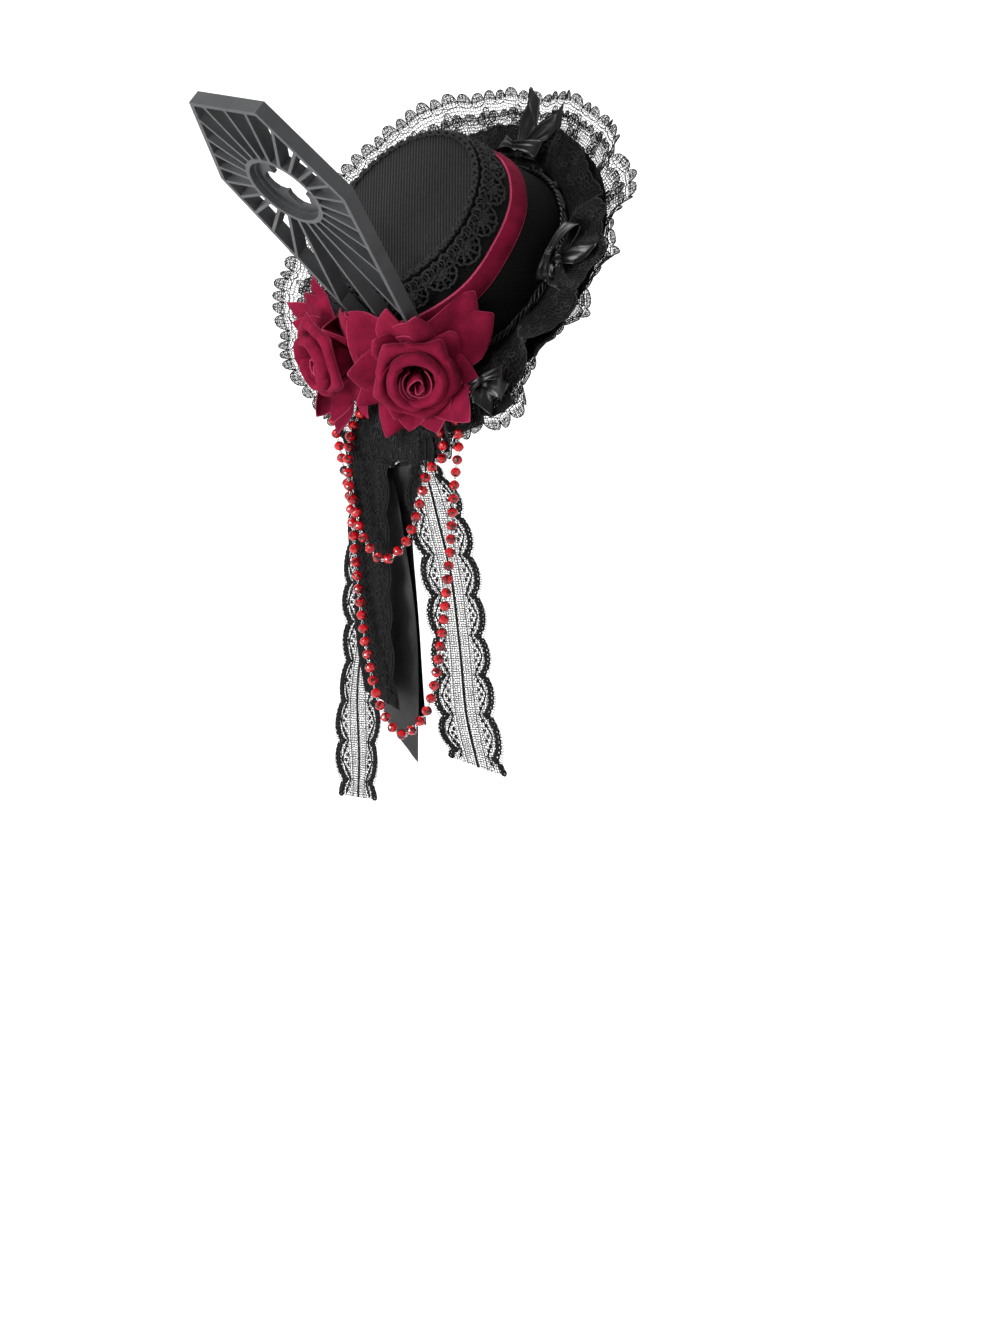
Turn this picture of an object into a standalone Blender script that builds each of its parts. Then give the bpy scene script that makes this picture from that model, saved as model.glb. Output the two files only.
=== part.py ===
"""Mini top hat fascinator, worn tipped to the wearer's right.

Metres, +Z up, -Y is the wearer's front. The origin is the middle of the brim's underside,
where the hat sits on the head. The crown's axis leans from +Z towards -X.
"""

import bpy
import bmesh
from math import atan2, cos, degrees, exp, hypot, pi, radians, sin, sqrt
from mathutils import Matrix, Vector

# How it is worn
LEAN = 57.0                     # degrees between the crown's axis and the vertical

# Clearances
SEAT = 0.0003                   # between two pieces that touch
CLOTH_GAP = 0.0008              # between the waved ruffle and what lies on it

# Brim and crown, blocked felt
BRIM_RADIUS = 0.081
FELT = 0.002
CROWN_HEIGHT = 0.056            # brim's underside to the top of the crown
CROWN_FOOT_RADIUS = 0.0585      # outside of the wall, at the height of the brim's underside
CROWN_TOP_RADIUS = 0.0450
TIP_THICKNESS = 0.002
ROUND_SIDES = 36

# Trims on the crown
BAND_LOW = 0.0269               # height of the band's lower edge
BAND_WIDTH = 0.0100
BAND_THICKNESS = 0.0012
CROWN_LACE_WIDTH = 0.0150
CROWN_LACE_SCALLOP = 0.0025
CROWN_LACE_THICKNESS = 0.0014
CROWN_LACE_LOBES = 18
CROWN_LACE_TOP = 0.0005         # how far its upper edge is below the top of the crown
GATHERING_WIDTH = 0.0026
GATHERING_HEIGHT = 0.0050

# Gathered lace ruffle on the brim
RUFFLE_REACH = 0.100            # middle reach of its free edge from the crown's axis
RUFFLE_THICKNESS = 0.0010
RUFFLE_FOLDS = 11
FOLD_HEIGHT = 0.0050
RUFFLE_RISE = 0.028             # how high its free edge stands where it stands highest
# turn about the crown (0 upper side, 90 wearer's back, 180 low side), reach and rise as shares
RUFFLE_ROWS = (
    # turn, reach, rise
    (0, 0.98, 0.36),
    (30, 1.00, 0.78),
    (60, 1.01, 1.00),
    (95, 1.01, 1.00),
    (125, 1.00, 0.78),
    (150, 1.00, 0.10),
    (180, 1.04, -0.42),
    (212, 1.02, -0.34),
    (236, 0.97, 0.10),
    (252, 0.93, 0.14),
    (270, 0.92, 0.22),
    (290, 0.99, 0.18),
    (312, 1.01, 0.28),
    (336, 1.00, 0.42),
)

# Pierced plate: a coffin-shaped grille that stands on the brim against the crown
PLATE_TURN = 174.0
PLATE_LEAN = 9.1                # degrees that its head leans over the crown
PLATE_ROLL = 3.6                # degrees that it is turned in its own plane
PLATE_SIDE_SHIFT = 0.0190       # from the turn's line to the plate's middle line
PLATE_THICKNESS = 0.0072
PLATE_HEAD_WIDTH = 0.0460
PLATE_SHOULDER_WIDTH = 0.0860
PLATE_FOOT_WIDTH = 0.0340
PLATE_HEAD_LENGTH = 0.0540      # shoulder to head
PLATE_FOOT_LENGTH = 0.1090      # shoulder to foot
PLATE_FOOT_HEIGHT = 0.0340      # of the foot's middle above the brim's underside
PLATE_BORDER = 0.0023
RAY_WIDTH = 0.0017
RAY_COUNT = 24
HOLE_BELOW_SHOULDER = 0.0018
HOLE_RADIUS = 0.0192
RING_WIDTH = 0.0022
STEP_WIDTH = 0.0015
STEP_DEPTH = 0.0030             # from the front face to the ring's inner step
TRACERY_THICKNESS = 0.0022
LOBE_RADIUS = 0.0067
LOBE_OFFSET = 0.0090

# Roses of velvet petals round a heart, each on a calyx
ROSE_RADIUS = 0.0370
ROSE_DEPTH = 0.0240
PETAL_THICKNESS = 0.0012
CALYX_RADIUS = 0.0110
FRONT_CALYX_LENGTH = 0.0220
LEFT_CALYX_LENGTH = 0.0190
LAYER_STEP = 0.0022             # between rings of petals where they are pressed together
BAND_MARGIN = 0.0020            # past the band's edges, where petals still clear the band
ROSE_ROOM = 0.0075              # kept free between petals and ruffle for the hanging pieces
# rings of petals from the heart out: root as a share of the calyx's radius; lip radius, lip
# height and point as shares of the rose; half span of each petal in degrees
ROSE_RINGS = (
    # count, first angle, root, lip radius, lip height, point, half span
    (3, 60, 0.40, 0.26, 1.00, 0.03, 56),
    (3, 115, 0.58, 0.42, 0.90, 0.06, 56),
    (4, 30, 0.74, 0.64, 0.70, 0.13, 42),
    (5, 10, 0.90, 0.84, 0.40, 0.20, 33),
)

# Satin bows
SATIN_WIDTH = 0.0100
SATIN_THICKNESS = 0.0008
KNOT_SIZE = 0.0060
LOOP_RISE = 0.0075
TAIL_RISE = 0.0050

# Hanging tails
LACE_TAIL_WIDTH = 0.0280
LACE_TAIL_THICKNESS = 0.0010
LACE_SCALLOP_PITCH = 0.0195
LACE_SCALLOP_DEPTH = 0.0026
RIGHT_LACE_LENGTH = 0.1455
LEFT_LACE_LENGTH = 0.1800
SCALLOPED_WIDTH = 0.0260
SCALLOPED_LENGTH = 0.1160
WIDE_SATIN_WIDTH = 0.0250
WIDE_SATIN_LENGTH = 0.1395
DARK_SATIN_WIDTH = 0.0130
DARK_SATIN_LENGTH = 0.1280
NARROW_TOP = 0.0100             # gathered top of a tail that is sewn under the ruffle
UNDER_INSET = 0.0030            # of that seam from the ruffle's free edge

# Beads on wire loops
BEAD_DIAMETER = 0.0051
BEAD_PITCH = 0.0065
WIRE_THICKNESS = 0.0011
WIRE_SIDES = 4
BEAD_SIDES = 2 * WIRE_SIDES
# routes of the two strands below the ruffle's edge: right, forward and up as the viewer of the
# wearer's right front sees them
LONG_ROUTE = (
    # right, forward, up
    (-0.0642, -0.0140, -0.0810),
    (-0.0622, -0.0180, -0.0900),
    (-0.0590, -0.0225, -0.1045),
    (-0.0564, -0.0255, -0.1303),
    (-0.0538, -0.0285, -0.1561),
    (-0.0500, -0.0330, -0.1820),
    (-0.0435, -0.0400, -0.2065),
    (-0.0335, -0.0480, -0.2190),
    (-0.0232, -0.0540, -0.2104),
    (-0.0187, -0.0565, -0.1993),
    (-0.0144, -0.0585, -0.1753),
    (-0.0116, -0.0600, -0.1494),
    (-0.0094, -0.0615, -0.1241),
    (-0.0077, -0.0630, -0.0983),
)
SHORT_ROUTE = (
    # right, forward, up
    (-0.0590, -0.0330, -0.0870),
    (-0.0586, -0.0320, -0.1011),
    (-0.0553, -0.0330, -0.1130),
    (-0.0520, -0.0360, -0.1245),
    (-0.0426, -0.0440, -0.1354),
    (-0.0323, -0.0500, -0.1282),
    (-0.0272, -0.0530, -0.1174),
    (-0.0237, -0.0555, -0.1057),
    (-0.0205, -0.0580, -0.0925),
)

# Hair clips under the brim
CLIP_LENGTH = 0.0400
CLIP_WIDTH = 0.0080
CLIP_THICKNESS = 0.0025

VIEW_RIGHT = Vector((sqrt(0.5), -sqrt(0.5), 0))
VIEW_FORWARD = Vector((sqrt(0.5), sqrt(0.5), 0))
UP = Vector((0, 0, 1))
HAT_FRAME = Matrix.Rotation(-radians(LEAN), 3, "Y")


# Places on the hat

def hat_vector(turn, radius, height):
    """Turn about the crown in degrees, distance from its axis, height above the underside."""
    angle = radians(turn)
    return HAT_FRAME @ Vector((radius * cos(angle), radius * sin(angle), height))


def hat_place(point):
    """Turn, radius and height of a point."""
    local = HAT_FRAME.transposed() @ point
    return degrees(atan2(local.y, local.x)) % 360, hypot(local.x, local.y), local.z


def view_vector(right, forward, up):
    return VIEW_RIGHT * right + VIEW_FORWARD * forward + UP * up


def wall_radius(height):
    """Outside of the crown's wall."""
    return CROWN_FOOT_RADIUS - (CROWN_FOOT_RADIUS - CROWN_TOP_RADIUS) * height / CROWN_HEIGHT


def ruffle_row(turn):
    """Reach and rise of the ruffle's free edge, smoothly between the rows of its table."""
    turn %= 360
    rows = RUFFLE_ROWS + ((RUFFLE_ROWS[0][0] + 360,) + RUFFLE_ROWS[0][1:],)
    for (low, reach_a, rise_a), (high, reach_b, rise_b) in zip(rows, rows[1:]):
        if turn <= high:
            share = (turn - low) / (high - low)
            share = share * share * (3 - 2 * share)
            reach = RUFFLE_REACH * (reach_a + (reach_b - reach_a) * share)
            rise = RUFFLE_RISE * (rise_a + (rise_b - rise_a) * share)
            return reach, rise


GATHERING_INNER = wall_radius(FELT) + SEAT
RUFFLE_INNER = GATHERING_INNER + GATHERING_WIDTH + SEAT
RUFFLE_FLOOR = FELT + SEAT + RUFFLE_THICKNESS / 2
RUFFLE_SPREAD = RUFFLE_REACH - RUFFLE_INNER
BRIM_MARGIN = 0.0012            # how far past the brim's edge the ruffle stays above it


def ruffle_lines(turn):
    """Radius and height of the ruffle's middle surface at its seam, past the brim and at its edge.

    It lies on the brim, and falls or rises past it in folds.
    """
    reach, rise = ruffle_row(turn)
    past = BRIM_RADIUS + BRIM_MARGIN
    wave = 0.5 + 0.5 * sin(radians(turn * RUFFLE_FOLDS) + 1.2 * sin(radians(3 * turn)))
    lifted = max(0.0, rise) * 0.38 + FOLD_HEIGHT * wave * 0.4
    return ((RUFFLE_INNER, RUFFLE_FLOOR), (past, RUFFLE_FLOOR + lifted),
            (reach, RUFFLE_FLOOR + rise + FOLD_HEIGHT * wave))


def ruffle_height(turn, radius):
    (seam, low), (past, middle), (reach, edge) = ruffle_lines(turn)
    if radius < past:
        return low + (middle - low) * max(0.0, (radius - seam) / (past - seam))
    return middle + (edge - middle) * (radius - past) / (reach - past)


def ruffle_top(turn, radius):
    return ruffle_height(turn, radius) + RUFFLE_THICKNESS / 2


def above_ruffle(point, clearance):
    """The same point, moved to lie clear on the ruffle and clear of the crown."""
    turn, radius, height = hat_place(point)
    crown = wall_radius(max(0.0, min(height, CROWN_HEIGHT))) + SEAT + GATHERING_WIDTH + clearance
    radius = max(radius, crown)
    if radius < ruffle_row(turn)[0] + clearance:
        height = max(height, ruffle_top(turn, radius) + clearance)
    return hat_vector(turn, radius, height)


# Making meshes

def material(name, colour, roughness, metallic=0.0):
    made = bpy.data.materials.new(name)
    made.use_nodes = True
    shader = made.node_tree.nodes["Principled BSDF"]
    shader.inputs["Base Color"].default_value = (*colour, 1)
    shader.inputs["Roughness"].default_value = roughness
    shader.inputs["Metallic"].default_value = metallic
    return made


def add_object(name, verts, faces, finish, smooth=True):
    """A mesh object with all its faces pointing out."""
    mesh = bpy.data.meshes.new(name)
    mesh.from_pydata([tuple(v) for v in verts], [], faces)
    work = bmesh.new()
    work.from_mesh(mesh)
    bmesh.ops.recalc_face_normals(work, faces=work.faces)
    work.to_mesh(mesh)
    work.free()
    if smooth:
        mesh.shade_smooth()
        mesh.set_sharp_from_angle(angle=radians(35))
    mesh.materials.append(finish)
    made = bpy.data.objects.new(name, mesh)
    bpy.context.collection.objects.link(made)
    return made


def add_guide(name, verts, faces, finish):
    """A cutter, or a body that another piece is fused with."""
    guide = add_object(name, verts, faces, finish, smooth=False)
    guide.hide_render = True
    guide.display_type = "WIRE"
    return guide


def boolean(target, other, operation, overlapping=False):
    modifier = target.modifiers.new(other.name, "BOOLEAN")
    modifier.object = other
    modifier.operation = operation
    modifier.solver = "EXACT"
    modifier.use_self = overlapping


def tube_faces(rings, sides, closed=False):
    """Faces of rings of points joined in a row, with end caps unless the row is closed."""
    faces = []
    last = rings if closed else rings - 1
    for row in range(last):
        after = (row + 1) % rings
        for side in range(sides):
            beside = (side + 1) % sides
            faces.append((row * sides + side, row * sides + beside,
                          after * sides + beside, after * sides + side))
    if not closed:
        faces.append(tuple(range(sides)))
        faces.append(tuple((rings - 1) * sides + side for side in range(sides)))
    return faces


def turned(name, profile, finish, sides=ROUND_SIDES):
    """A closed profile of (radius, height) turned round the crown's axis."""
    verts = [hat_vector(360 * turn / sides, radius, height)
             for turn in range(sides) for radius, height in profile]
    return add_object(name, verts, tube_faces(sides, len(profile), closed=True), finish)


def thick_sheet(rows, thickness, closed=False):
    """Points and faces of a closed solid round a grid of points, each row of one length.

    The grid is moved half a thickness each way along its own normals. A closed sheet joins its
    last column to its first.
    """
    height = len(rows)
    width = len(rows[0])
    sides = ([], [])
    for r in range(height):
        for c in range(width):
            left = rows[r][(c - 1) % width if closed else max(c - 1, 0)]
            right = rows[r][(c + 1) % width if closed else min(c + 1, width - 1)]
            across = right - left
            along = rows[min(r + 1, height - 1)][c] - rows[max(r - 1, 0)][c]
            normal = across.cross(along).normalized() * (thickness / 2)
            sides[0].append(rows[r][c] + normal)
            sides[1].append(rows[r][c] - normal)
    verts = sides[0] + sides[1]
    under = height * width
    columns = width if closed else width - 1
    faces = []
    for r in range(height - 1):
        for c in range(columns):
            a = r * width + c
            b = r * width + (c + 1) % width
            faces.append((a, b, b + width, a + width))
            faces.append((under + a, under + a + width, under + b + width, under + b))
    for c in range(columns):
        for r in (0, height - 1):
            a = r * width + c
            b = r * width + (c + 1) % width
            faces.append((a, under + a, under + b, b))
    if not closed:
        for r in range(height - 1):
            for c in (0, width - 1):
                a = r * width + c
                faces.append((a, a + width, under + a + width, under + a))
    return verts, faces


def joined(parts):
    """One list of points and faces from several."""
    verts = []
    faces = []
    for part_verts, part_faces in parts:
        first = len(verts)
        verts += list(part_verts)
        faces += [tuple(first + index for index in face) for face in part_faces]
    return verts, faces


def smooth_path(points, steps):
    """Points on a Catmull-Rom curve through the given ones."""
    ends = [points[0] * 2 - points[1]] + list(points) + [points[-1] * 2 - points[-2]]
    path = []
    for before, start, stop, after in zip(ends, ends[1:], ends[2:], ends[3:]):
        for step in range(steps):
            t = step / steps
            path.append(0.5 * (start * 2 + (stop - before) * t
                               + (before * 2 - start * 5 + stop * 4 - after) * t * t
                               + (start * 3 - before - stop * 3 + after) * t ** 3))
    return path + [points[-1]]


def even_points(path, spacing):
    """Points the same distance apart along a path, as near to the spacing as fits its length."""
    runs = [(b - a).length for a, b in zip(path, path[1:])]
    count = max(1, round(sum(runs) / spacing))
    step = sum(runs) / count
    found = [path[0]]
    done = 0.0
    for start, stop, run in zip(path, path[1:], runs):
        while len(found) <= count and len(found) * step <= done + run + 1e-9:
            found.append(start.lerp(stop, (len(found) * step - done) / run))
        done += run
    return found


# Felt hat

def add_brim(felt):
    inner = wall_radius(FELT) - FELT
    return turned("brim", ((inner, 0), (BRIM_RADIUS, 0), (BRIM_RADIUS, FELT), (inner, FELT)), felt)


def add_crown(felt, twill):
    foot = FELT + SEAT
    rim = CROWN_HEIGHT - TIP_THICKNESS - SEAT
    turned("crown_wall", ((wall_radius(foot) - FELT, foot), (wall_radius(foot), foot),
                          (wall_radius(rim), rim), (wall_radius(rim) - FELT, rim)), felt)
    low = CROWN_HEIGHT - TIP_THICKNESS
    centre_low = hat_vector(0, 0, low)
    centre_top = hat_vector(0, 0, CROWN_HEIGHT)
    radius = wall_radius(CROWN_HEIGHT)
    verts = [centre_low, centre_top]
    for height in (low, CROWN_HEIGHT):
        verts += [hat_vector(360 * n / ROUND_SIDES, radius, height) for n in range(ROUND_SIDES)]
    faces = []
    for n in range(ROUND_SIDES):
        a = 2 + n
        b = 2 + (n + 1) % ROUND_SIDES
        faces += [(0, b, a), (1, a + ROUND_SIDES, b + ROUND_SIDES),
                  (a, b, b + ROUND_SIDES, a + ROUND_SIDES)]
    add_object("crown_tip", verts, faces, twill)


def add_velvet_band(velvet):
    low = BAND_LOW
    high = BAND_LOW + BAND_WIDTH
    inner = SEAT
    outer = SEAT + BAND_THICKNESS
    turned("velvet_band", ((wall_radius(low) + inner, low), (wall_radius(low) + outer, low),
                           (wall_radius(high) + outer, high), (wall_radius(high) + inner, high)),
           velvet)


def add_crown_lace(lace):
    """Trim whose lower edge hangs in scallops."""
    steps = CROWN_LACE_LOBES * 3
    rows = ([], [])
    middle = SEAT + CROWN_LACE_THICKNESS / 2
    high = CROWN_HEIGHT - CROWN_LACE_TOP
    for step in range(steps):
        turn = 360 * step / steps
        lobe = abs(sin(pi * step / 3))
        low = high - CROWN_LACE_WIDTH + CROWN_LACE_SCALLOP * (1 - lobe)
        rows[0].append(hat_vector(turn, wall_radius(high) + middle, high))
        rows[1].append(hat_vector(turn, wall_radius(low) + middle, low))
    verts, faces = thick_sheet(rows, CROWN_LACE_THICKNESS, closed=True)
    add_object("crown_lace", verts, faces, lace)


def add_gathering_ribbon(satin):
    low = FELT + SEAT
    high = low + GATHERING_HEIGHT
    outer = GATHERING_INNER + GATHERING_WIDTH
    turned("gathering_ribbon", ((GATHERING_INNER, low), (outer, low),
                                (wall_radius(high) + SEAT + GATHERING_WIDTH, high),
                                (wall_radius(high) + SEAT, high)), satin)


def add_ruffle(lace):
    columns = RUFFLE_FOLDS * 7
    turns = [360 * column / columns for column in range(columns)]
    rows = [[hat_vector(turn, *ruffle_lines(turn)[line]) for turn in turns] for line in range(3)]
    verts, faces = thick_sheet(rows, RUFFLE_THICKNESS, closed=True)
    add_object("brim_ruffle", verts, faces, lace)


# Pierced plate

def plate_axes():
    """The plate's origin on its back face, and its width, length and outward directions."""
    radial = hat_vector(PLATE_TURN, 1, 0)
    tangent = hat_vector(PLATE_TURN + 90, 1, 0)
    axis = hat_vector(0, 0, 1)
    lean = radians(PLATE_LEAN)
    roll = radians(PLATE_ROLL)
    outward = radial * cos(lean) + axis * sin(lean)
    slope = axis * cos(lean) - radial * sin(lean)
    length = slope * cos(roll) + tangent * sin(roll)
    width = length.cross(outward)
    seat = wall_radius(PLATE_FOOT_HEIGHT) + 2 * SEAT + BAND_THICKNESS
    foot = hat_vector(PLATE_TURN, seat, PLATE_FOOT_HEIGHT)
    return foot + width * PLATE_SIDE_SHIFT, width, length, outward


def plate_point(x, y, depth):
    """Across from the middle line, along from the foot, and out from the back face."""
    origin, width, length, outward = plate_axes()
    return origin + width * x + length * y + outward * depth


def plate_half_width(y):
    """Half the plate's width at a length from its foot."""
    if y < PLATE_FOOT_LENGTH:
        share = y / PLATE_FOOT_LENGTH
        return (PLATE_FOOT_WIDTH + (PLATE_SHOULDER_WIDTH - PLATE_FOOT_WIDTH) * share) / 2
    share = (y - PLATE_FOOT_LENGTH) / PLATE_HEAD_LENGTH
    return (PLATE_SHOULDER_WIDTH + (PLATE_HEAD_WIDTH - PLATE_SHOULDER_WIDTH) * share) / 2


def plate_outline(inset):
    """Corners of the coffin shape, moved in by the inset."""
    top = PLATE_FOOT_LENGTH + PLATE_HEAD_LENGTH
    low_slant = hypot(1, (PLATE_SHOULDER_WIDTH - PLATE_FOOT_WIDTH) / 2 / PLATE_FOOT_LENGTH)
    high_slant = hypot(1, (PLATE_SHOULDER_WIDTH - PLATE_HEAD_WIDTH) / 2 / PLATE_HEAD_LENGTH)
    foot = (plate_half_width(inset) - inset * low_slant, inset)
    shoulder = (PLATE_SHOULDER_WIDTH / 2 - inset * (low_slant + high_slant) / 2, PLATE_FOOT_LENGTH)
    head = (plate_half_width(top - inset) - inset * high_slant, top - inset)
    right = [foot, shoulder, head]
    return right + [(-x, y) for x, y in reversed(right)]


def prism(outline, low, high):
    """Points and faces of an outline on the plate, between two depths."""
    count = len(outline)
    verts = [plate_point(x, y, low) for x, y in outline]
    verts += [plate_point(x, y, high) for x, y in outline]
    faces = [tuple(range(count)), tuple(range(count, 2 * count))]
    faces += [(n, (n + 1) % count, count + (n + 1) % count, count + n) for n in range(count)]
    return verts, faces


def clip_outline(outline, nx, ny, limit):
    """The part of a convex outline where nx * x + ny * y is at most the limit."""
    kept = []
    for (ax, ay), (bx, by) in zip(outline, outline[1:] + outline[:1]):
        a = nx * ax + ny * ay - limit
        b = nx * bx + ny * by - limit
        if a <= 0:
            kept.append((ax, ay))
        if (a < 0) != (b < 0):
            share = a / (a - b)
            kept.append((ax + (bx - ax) * share, ay + (by - ay) * share))
    return kept


def ray_cell(index, centre_y):
    """Outline of the gap between two rays, from the ring to the border."""
    step = 2 * pi / RAY_COUNT
    first = index * step
    last = first + step
    moved = [(x, y - centre_y) for x, y in plate_outline(PLATE_BORDER)]
    moved = clip_outline(moved, sin(first), -cos(first), -RAY_WIDTH / 2)
    moved = clip_outline(moved, -sin(last), cos(last), -RAY_WIDTH / 2)
    ring = HOLE_RADIUS + RING_WIDTH
    middle = (first + last) / 2
    moved = clip_outline(moved, -cos(middle), -sin(middle), -ring)
    return [(x, y + centre_y) for x, y in moved]


def add_plate(plastic):
    through = PLATE_THICKNESS / 4
    centre_y = PLATE_FOOT_LENGTH - HOLE_BELOW_SHOULDER
    verts, faces = prism(plate_outline(0), 0, PLATE_THICKNESS)
    plate = add_object("grille_plate", verts, faces, plastic, smooth=False)
    cells = [prism(ray_cell(n, centre_y), -through, PLATE_THICKNESS + through)
             for n in range(RAY_COUNT)]
    boolean(plate, add_guide("cut_cells", *joined(cells), plastic), "DIFFERENCE")
    step = PLATE_THICKNESS - STEP_DEPTH
    for name, radius, depth in (("cut_ring", HOLE_RADIUS, step),
                                ("cut_step", HOLE_RADIUS - STEP_WIDTH, TRACERY_THICKNESS)):
        turns = [2 * pi * n / ROUND_SIDES for n in range(ROUND_SIDES)]
        circle = [(radius * cos(turn), centre_y + radius * sin(turn)) for turn in turns]
        cutter = add_guide(name, *prism(circle, depth, PLATE_THICKNESS + through), plastic)
        boolean(plate, cutter, "DIFFERENCE")
    outline = []
    cusp = LOBE_OFFSET / sqrt(2) + sqrt(LOBE_RADIUS ** 2 - LOBE_OFFSET ** 2 / 2)
    spread = atan2(cusp / sqrt(2), cusp / sqrt(2) - LOBE_OFFSET)
    for lobe in range(4):
        for n in range(8):
            angle = lobe * pi / 2
            swing = angle - spread + 2 * spread * n / 8
            x = LOBE_OFFSET * cos(angle) + LOBE_RADIUS * cos(swing)
            y = LOBE_OFFSET * sin(angle) + LOBE_RADIUS * sin(swing)
            outline.append((x, y + centre_y))
    opening = add_guide("cut_tracery", *prism(outline, -through, PLATE_THICKNESS), plastic)
    boolean(plate, opening, "DIFFERENCE")


# Roses

def eased(distance, limit, soft):
    """Distance kept above a limit, squeezed smoothly within the soft zone next to it."""
    if distance >= limit + soft:
        return distance
    return limit + soft * exp((distance - limit - soft) / soft)


def clear_of_hat(point, split_point, split_normal, layer):
    """Move a petal's point clear of plate, crown, ruffle and the other rose.

    Each ring of petals has its own layer, so that pressed petals lie on each other.
    """
    raised = layer * LAYER_STEP
    origin, width, length, outward = plate_axes()
    local = point - origin
    depth = local.dot(outward)
    y = local.dot(length)
    outside = max(abs(local.dot(width)) - plate_half_width(min(max(y, 0), PLATE_FOOT_LENGTH)), -y)
    fade = min(max((0.014 - outside) / 0.010, 0), 1)
    limit = PLATE_THICKNESS + 2 * CLOTH_GAP + PETAL_THICKNESS / 2 + raised
    point = point + outward * ((eased(depth, limit, 0.004) - depth) * fade)
    turn, radius, height = hat_place(point)
    crown = wall_radius(min(max(height, 0), CROWN_HEIGHT)) + 2 * SEAT
    if BAND_LOW - BAND_MARGIN < height < BAND_LOW + BAND_WIDTH + BAND_MARGIN:
        crown += BAND_THICKNESS
    if height < CROWN_HEIGHT + ROSE_ROOM:
        radius = eased(radius, crown + raised, 0.003)
    reach = ruffle_row(turn)[0]
    if radius < reach + ROSE_ROOM:
        room = ROSE_ROOM * min(1, max(0, (radius - RUFFLE_INNER) / (BRIM_RADIUS - RUFFLE_INNER)))
        floor = ruffle_top(turn, min(radius, reach)) + 2 * CLOTH_GAP + room
        height = eased(height, floor + raised, 0.004)
    point = hat_vector(turn, radius, height)
    apart = (point - split_point).dot(split_normal)
    edge = PETAL_THICKNESS / 2 + SEAT + raised
    return point + split_normal * (eased(apart, edge, 0.006) - apart)


def petal_sheet(angle, root, lip, height, tip, span):
    """Rows of points of one petal in the rose's own frame, z out of the rose."""
    steps = 4 if tip > 0.1 else 3
    columns = [2 * n / steps - 1 for n in range(steps + 1)]
    rows = []
    for along in (0.0, 0.55, 1.0):
        row = []
        flare = along ** 3
        opening = 0.45 + 0.55 * sin(pi * min(along, 0.62) / 1.24)
        for across in columns:
            radius = root + (lip - root) * along ** 1.2
            radius += ROSE_RADIUS * tip * flare * (1 - abs(across)) ** 1.3
            radius -= ROSE_RADIUS * 0.03 * across * along
            level = height * sin(along * pi / 2)
            level -= ROSE_DEPTH * tip * 0.6 * flare * (1 - across ** 2)
            turn = radians(angle + span * across * opening)
            row.append(Vector((radius * cos(turn), radius * sin(turn), level)))
        rows.append(row)
    return rows


def rose_frame(base, axis, roll):
    side = axis.orthogonal().normalized()
    side = Matrix.Rotation(radians(roll), 3, axis) @ side
    return Matrix((side, axis.cross(side), axis)).transposed(), base


def add_rose(name, base, axis, roll, calyx_length, split_point, split_normal, velvet):
    frame, start = rose_frame(base, axis, roll)
    heart = len(ROSE_RINGS)

    def place(local, layer):
        return clear_of_hat(start + frame @ local, split_point, split_normal, layer)

    sides = 10
    # radius as a share of the calyx's, level as a share of the calyx's length or the rose's depth
    profile = ((0.35, -1.0), (0.70, -0.45), (1.0, 0.0), (0.95, 0.10), (0.24, 0.20),
               (0.22, 0.80), (0.10, 0.98))
    verts = []
    for radius, level in profile:
        depth = calyx_length if level < 0 else ROSE_DEPTH
        layer = heart if level > 0.15 else 0
        verts += [place(Vector((CALYX_RADIUS * radius * cos(2 * pi * n / sides),
                                CALYX_RADIUS * radius * sin(2 * pi * n / sides), depth * level)),
                        layer) for n in range(sides)]
    rose = add_object(name, verts, tube_faces(len(profile), sides), velvet)
    petals = []
    for ring, (count, first, root, lip, height, tip, span) in enumerate(ROSE_RINGS):
        for petal in range(count):
            rows = petal_sheet(first + 360 * petal / count, CALYX_RADIUS * root,
                               ROSE_RADIUS * lip, ROSE_DEPTH * height, tip, span)
            placed = [[place(point, heart - 1 - ring) for point in row] for row in rows]
            petals.append(thick_sheet(placed, PETAL_THICKNESS))
    guide = add_guide("petals_" + name, *joined(petals), velvet)
    boolean(rose, guide, "UNION", overlapping=True)


def add_roses(velvet):
    front = view_vector(-0.0262, -0.0540, -0.0430)
    left = view_vector(-0.0607, -0.0200, -0.0338)
    front_axis = view_vector(0.03, -0.93, -0.36).normalized()
    left_axis = view_vector(-0.79, -0.50, -0.36).normalized()
    split = view_vector(-0.0480, -0.0450, -0.0400)
    normal = view_vector(0.86, -0.42, -0.10).normalized()
    add_rose("rose_front", front, front_axis, 0, FRONT_CALYX_LENGTH, split, normal, velvet)
    add_rose("rose_left", left, left_axis, 40, LEFT_CALYX_LENGTH, split, -normal, velvet)


# Bows

def bow_strip(place, heading, length, rise, loop):
    """Rows of points of a loop or a tail that leaves the knot."""
    turn, radius, height = place
    start = hat_vector(turn, radius, height)
    out = hat_vector(turn, 1, 0)
    side = hat_vector(turn + 90, 1, 0)
    axis = hat_vector(0, 0, 1)
    ahead = out * cos(radians(heading)) + side * sin(radians(heading))
    across = axis.cross(ahead)
    rows = []
    steps = 6 if loop else 3
    for step in range(steps + 1):
        share = step / steps
        if loop:
            reach = RUFFLE_SPREAD * length * sin(pi * share) ** 0.8
            lift = rise * (0.5 - 0.5 * cos(pi * share))
            wide = SATIN_WIDTH * (0.35 + 0.65 * sin(pi * share))
        else:
            reach = RUFFLE_SPREAD * length * share
            lift = rise * share
            wide = SATIN_WIDTH * (0.5 + 0.5 * share)
        middle = start + ahead * reach + axis * lift
        rows.append([above_ruffle(middle + across * (wide * edge / 2),
                                  CLOTH_GAP + SATIN_THICKNESS / 2) for edge in (-1, 1)])
    return rows


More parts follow.
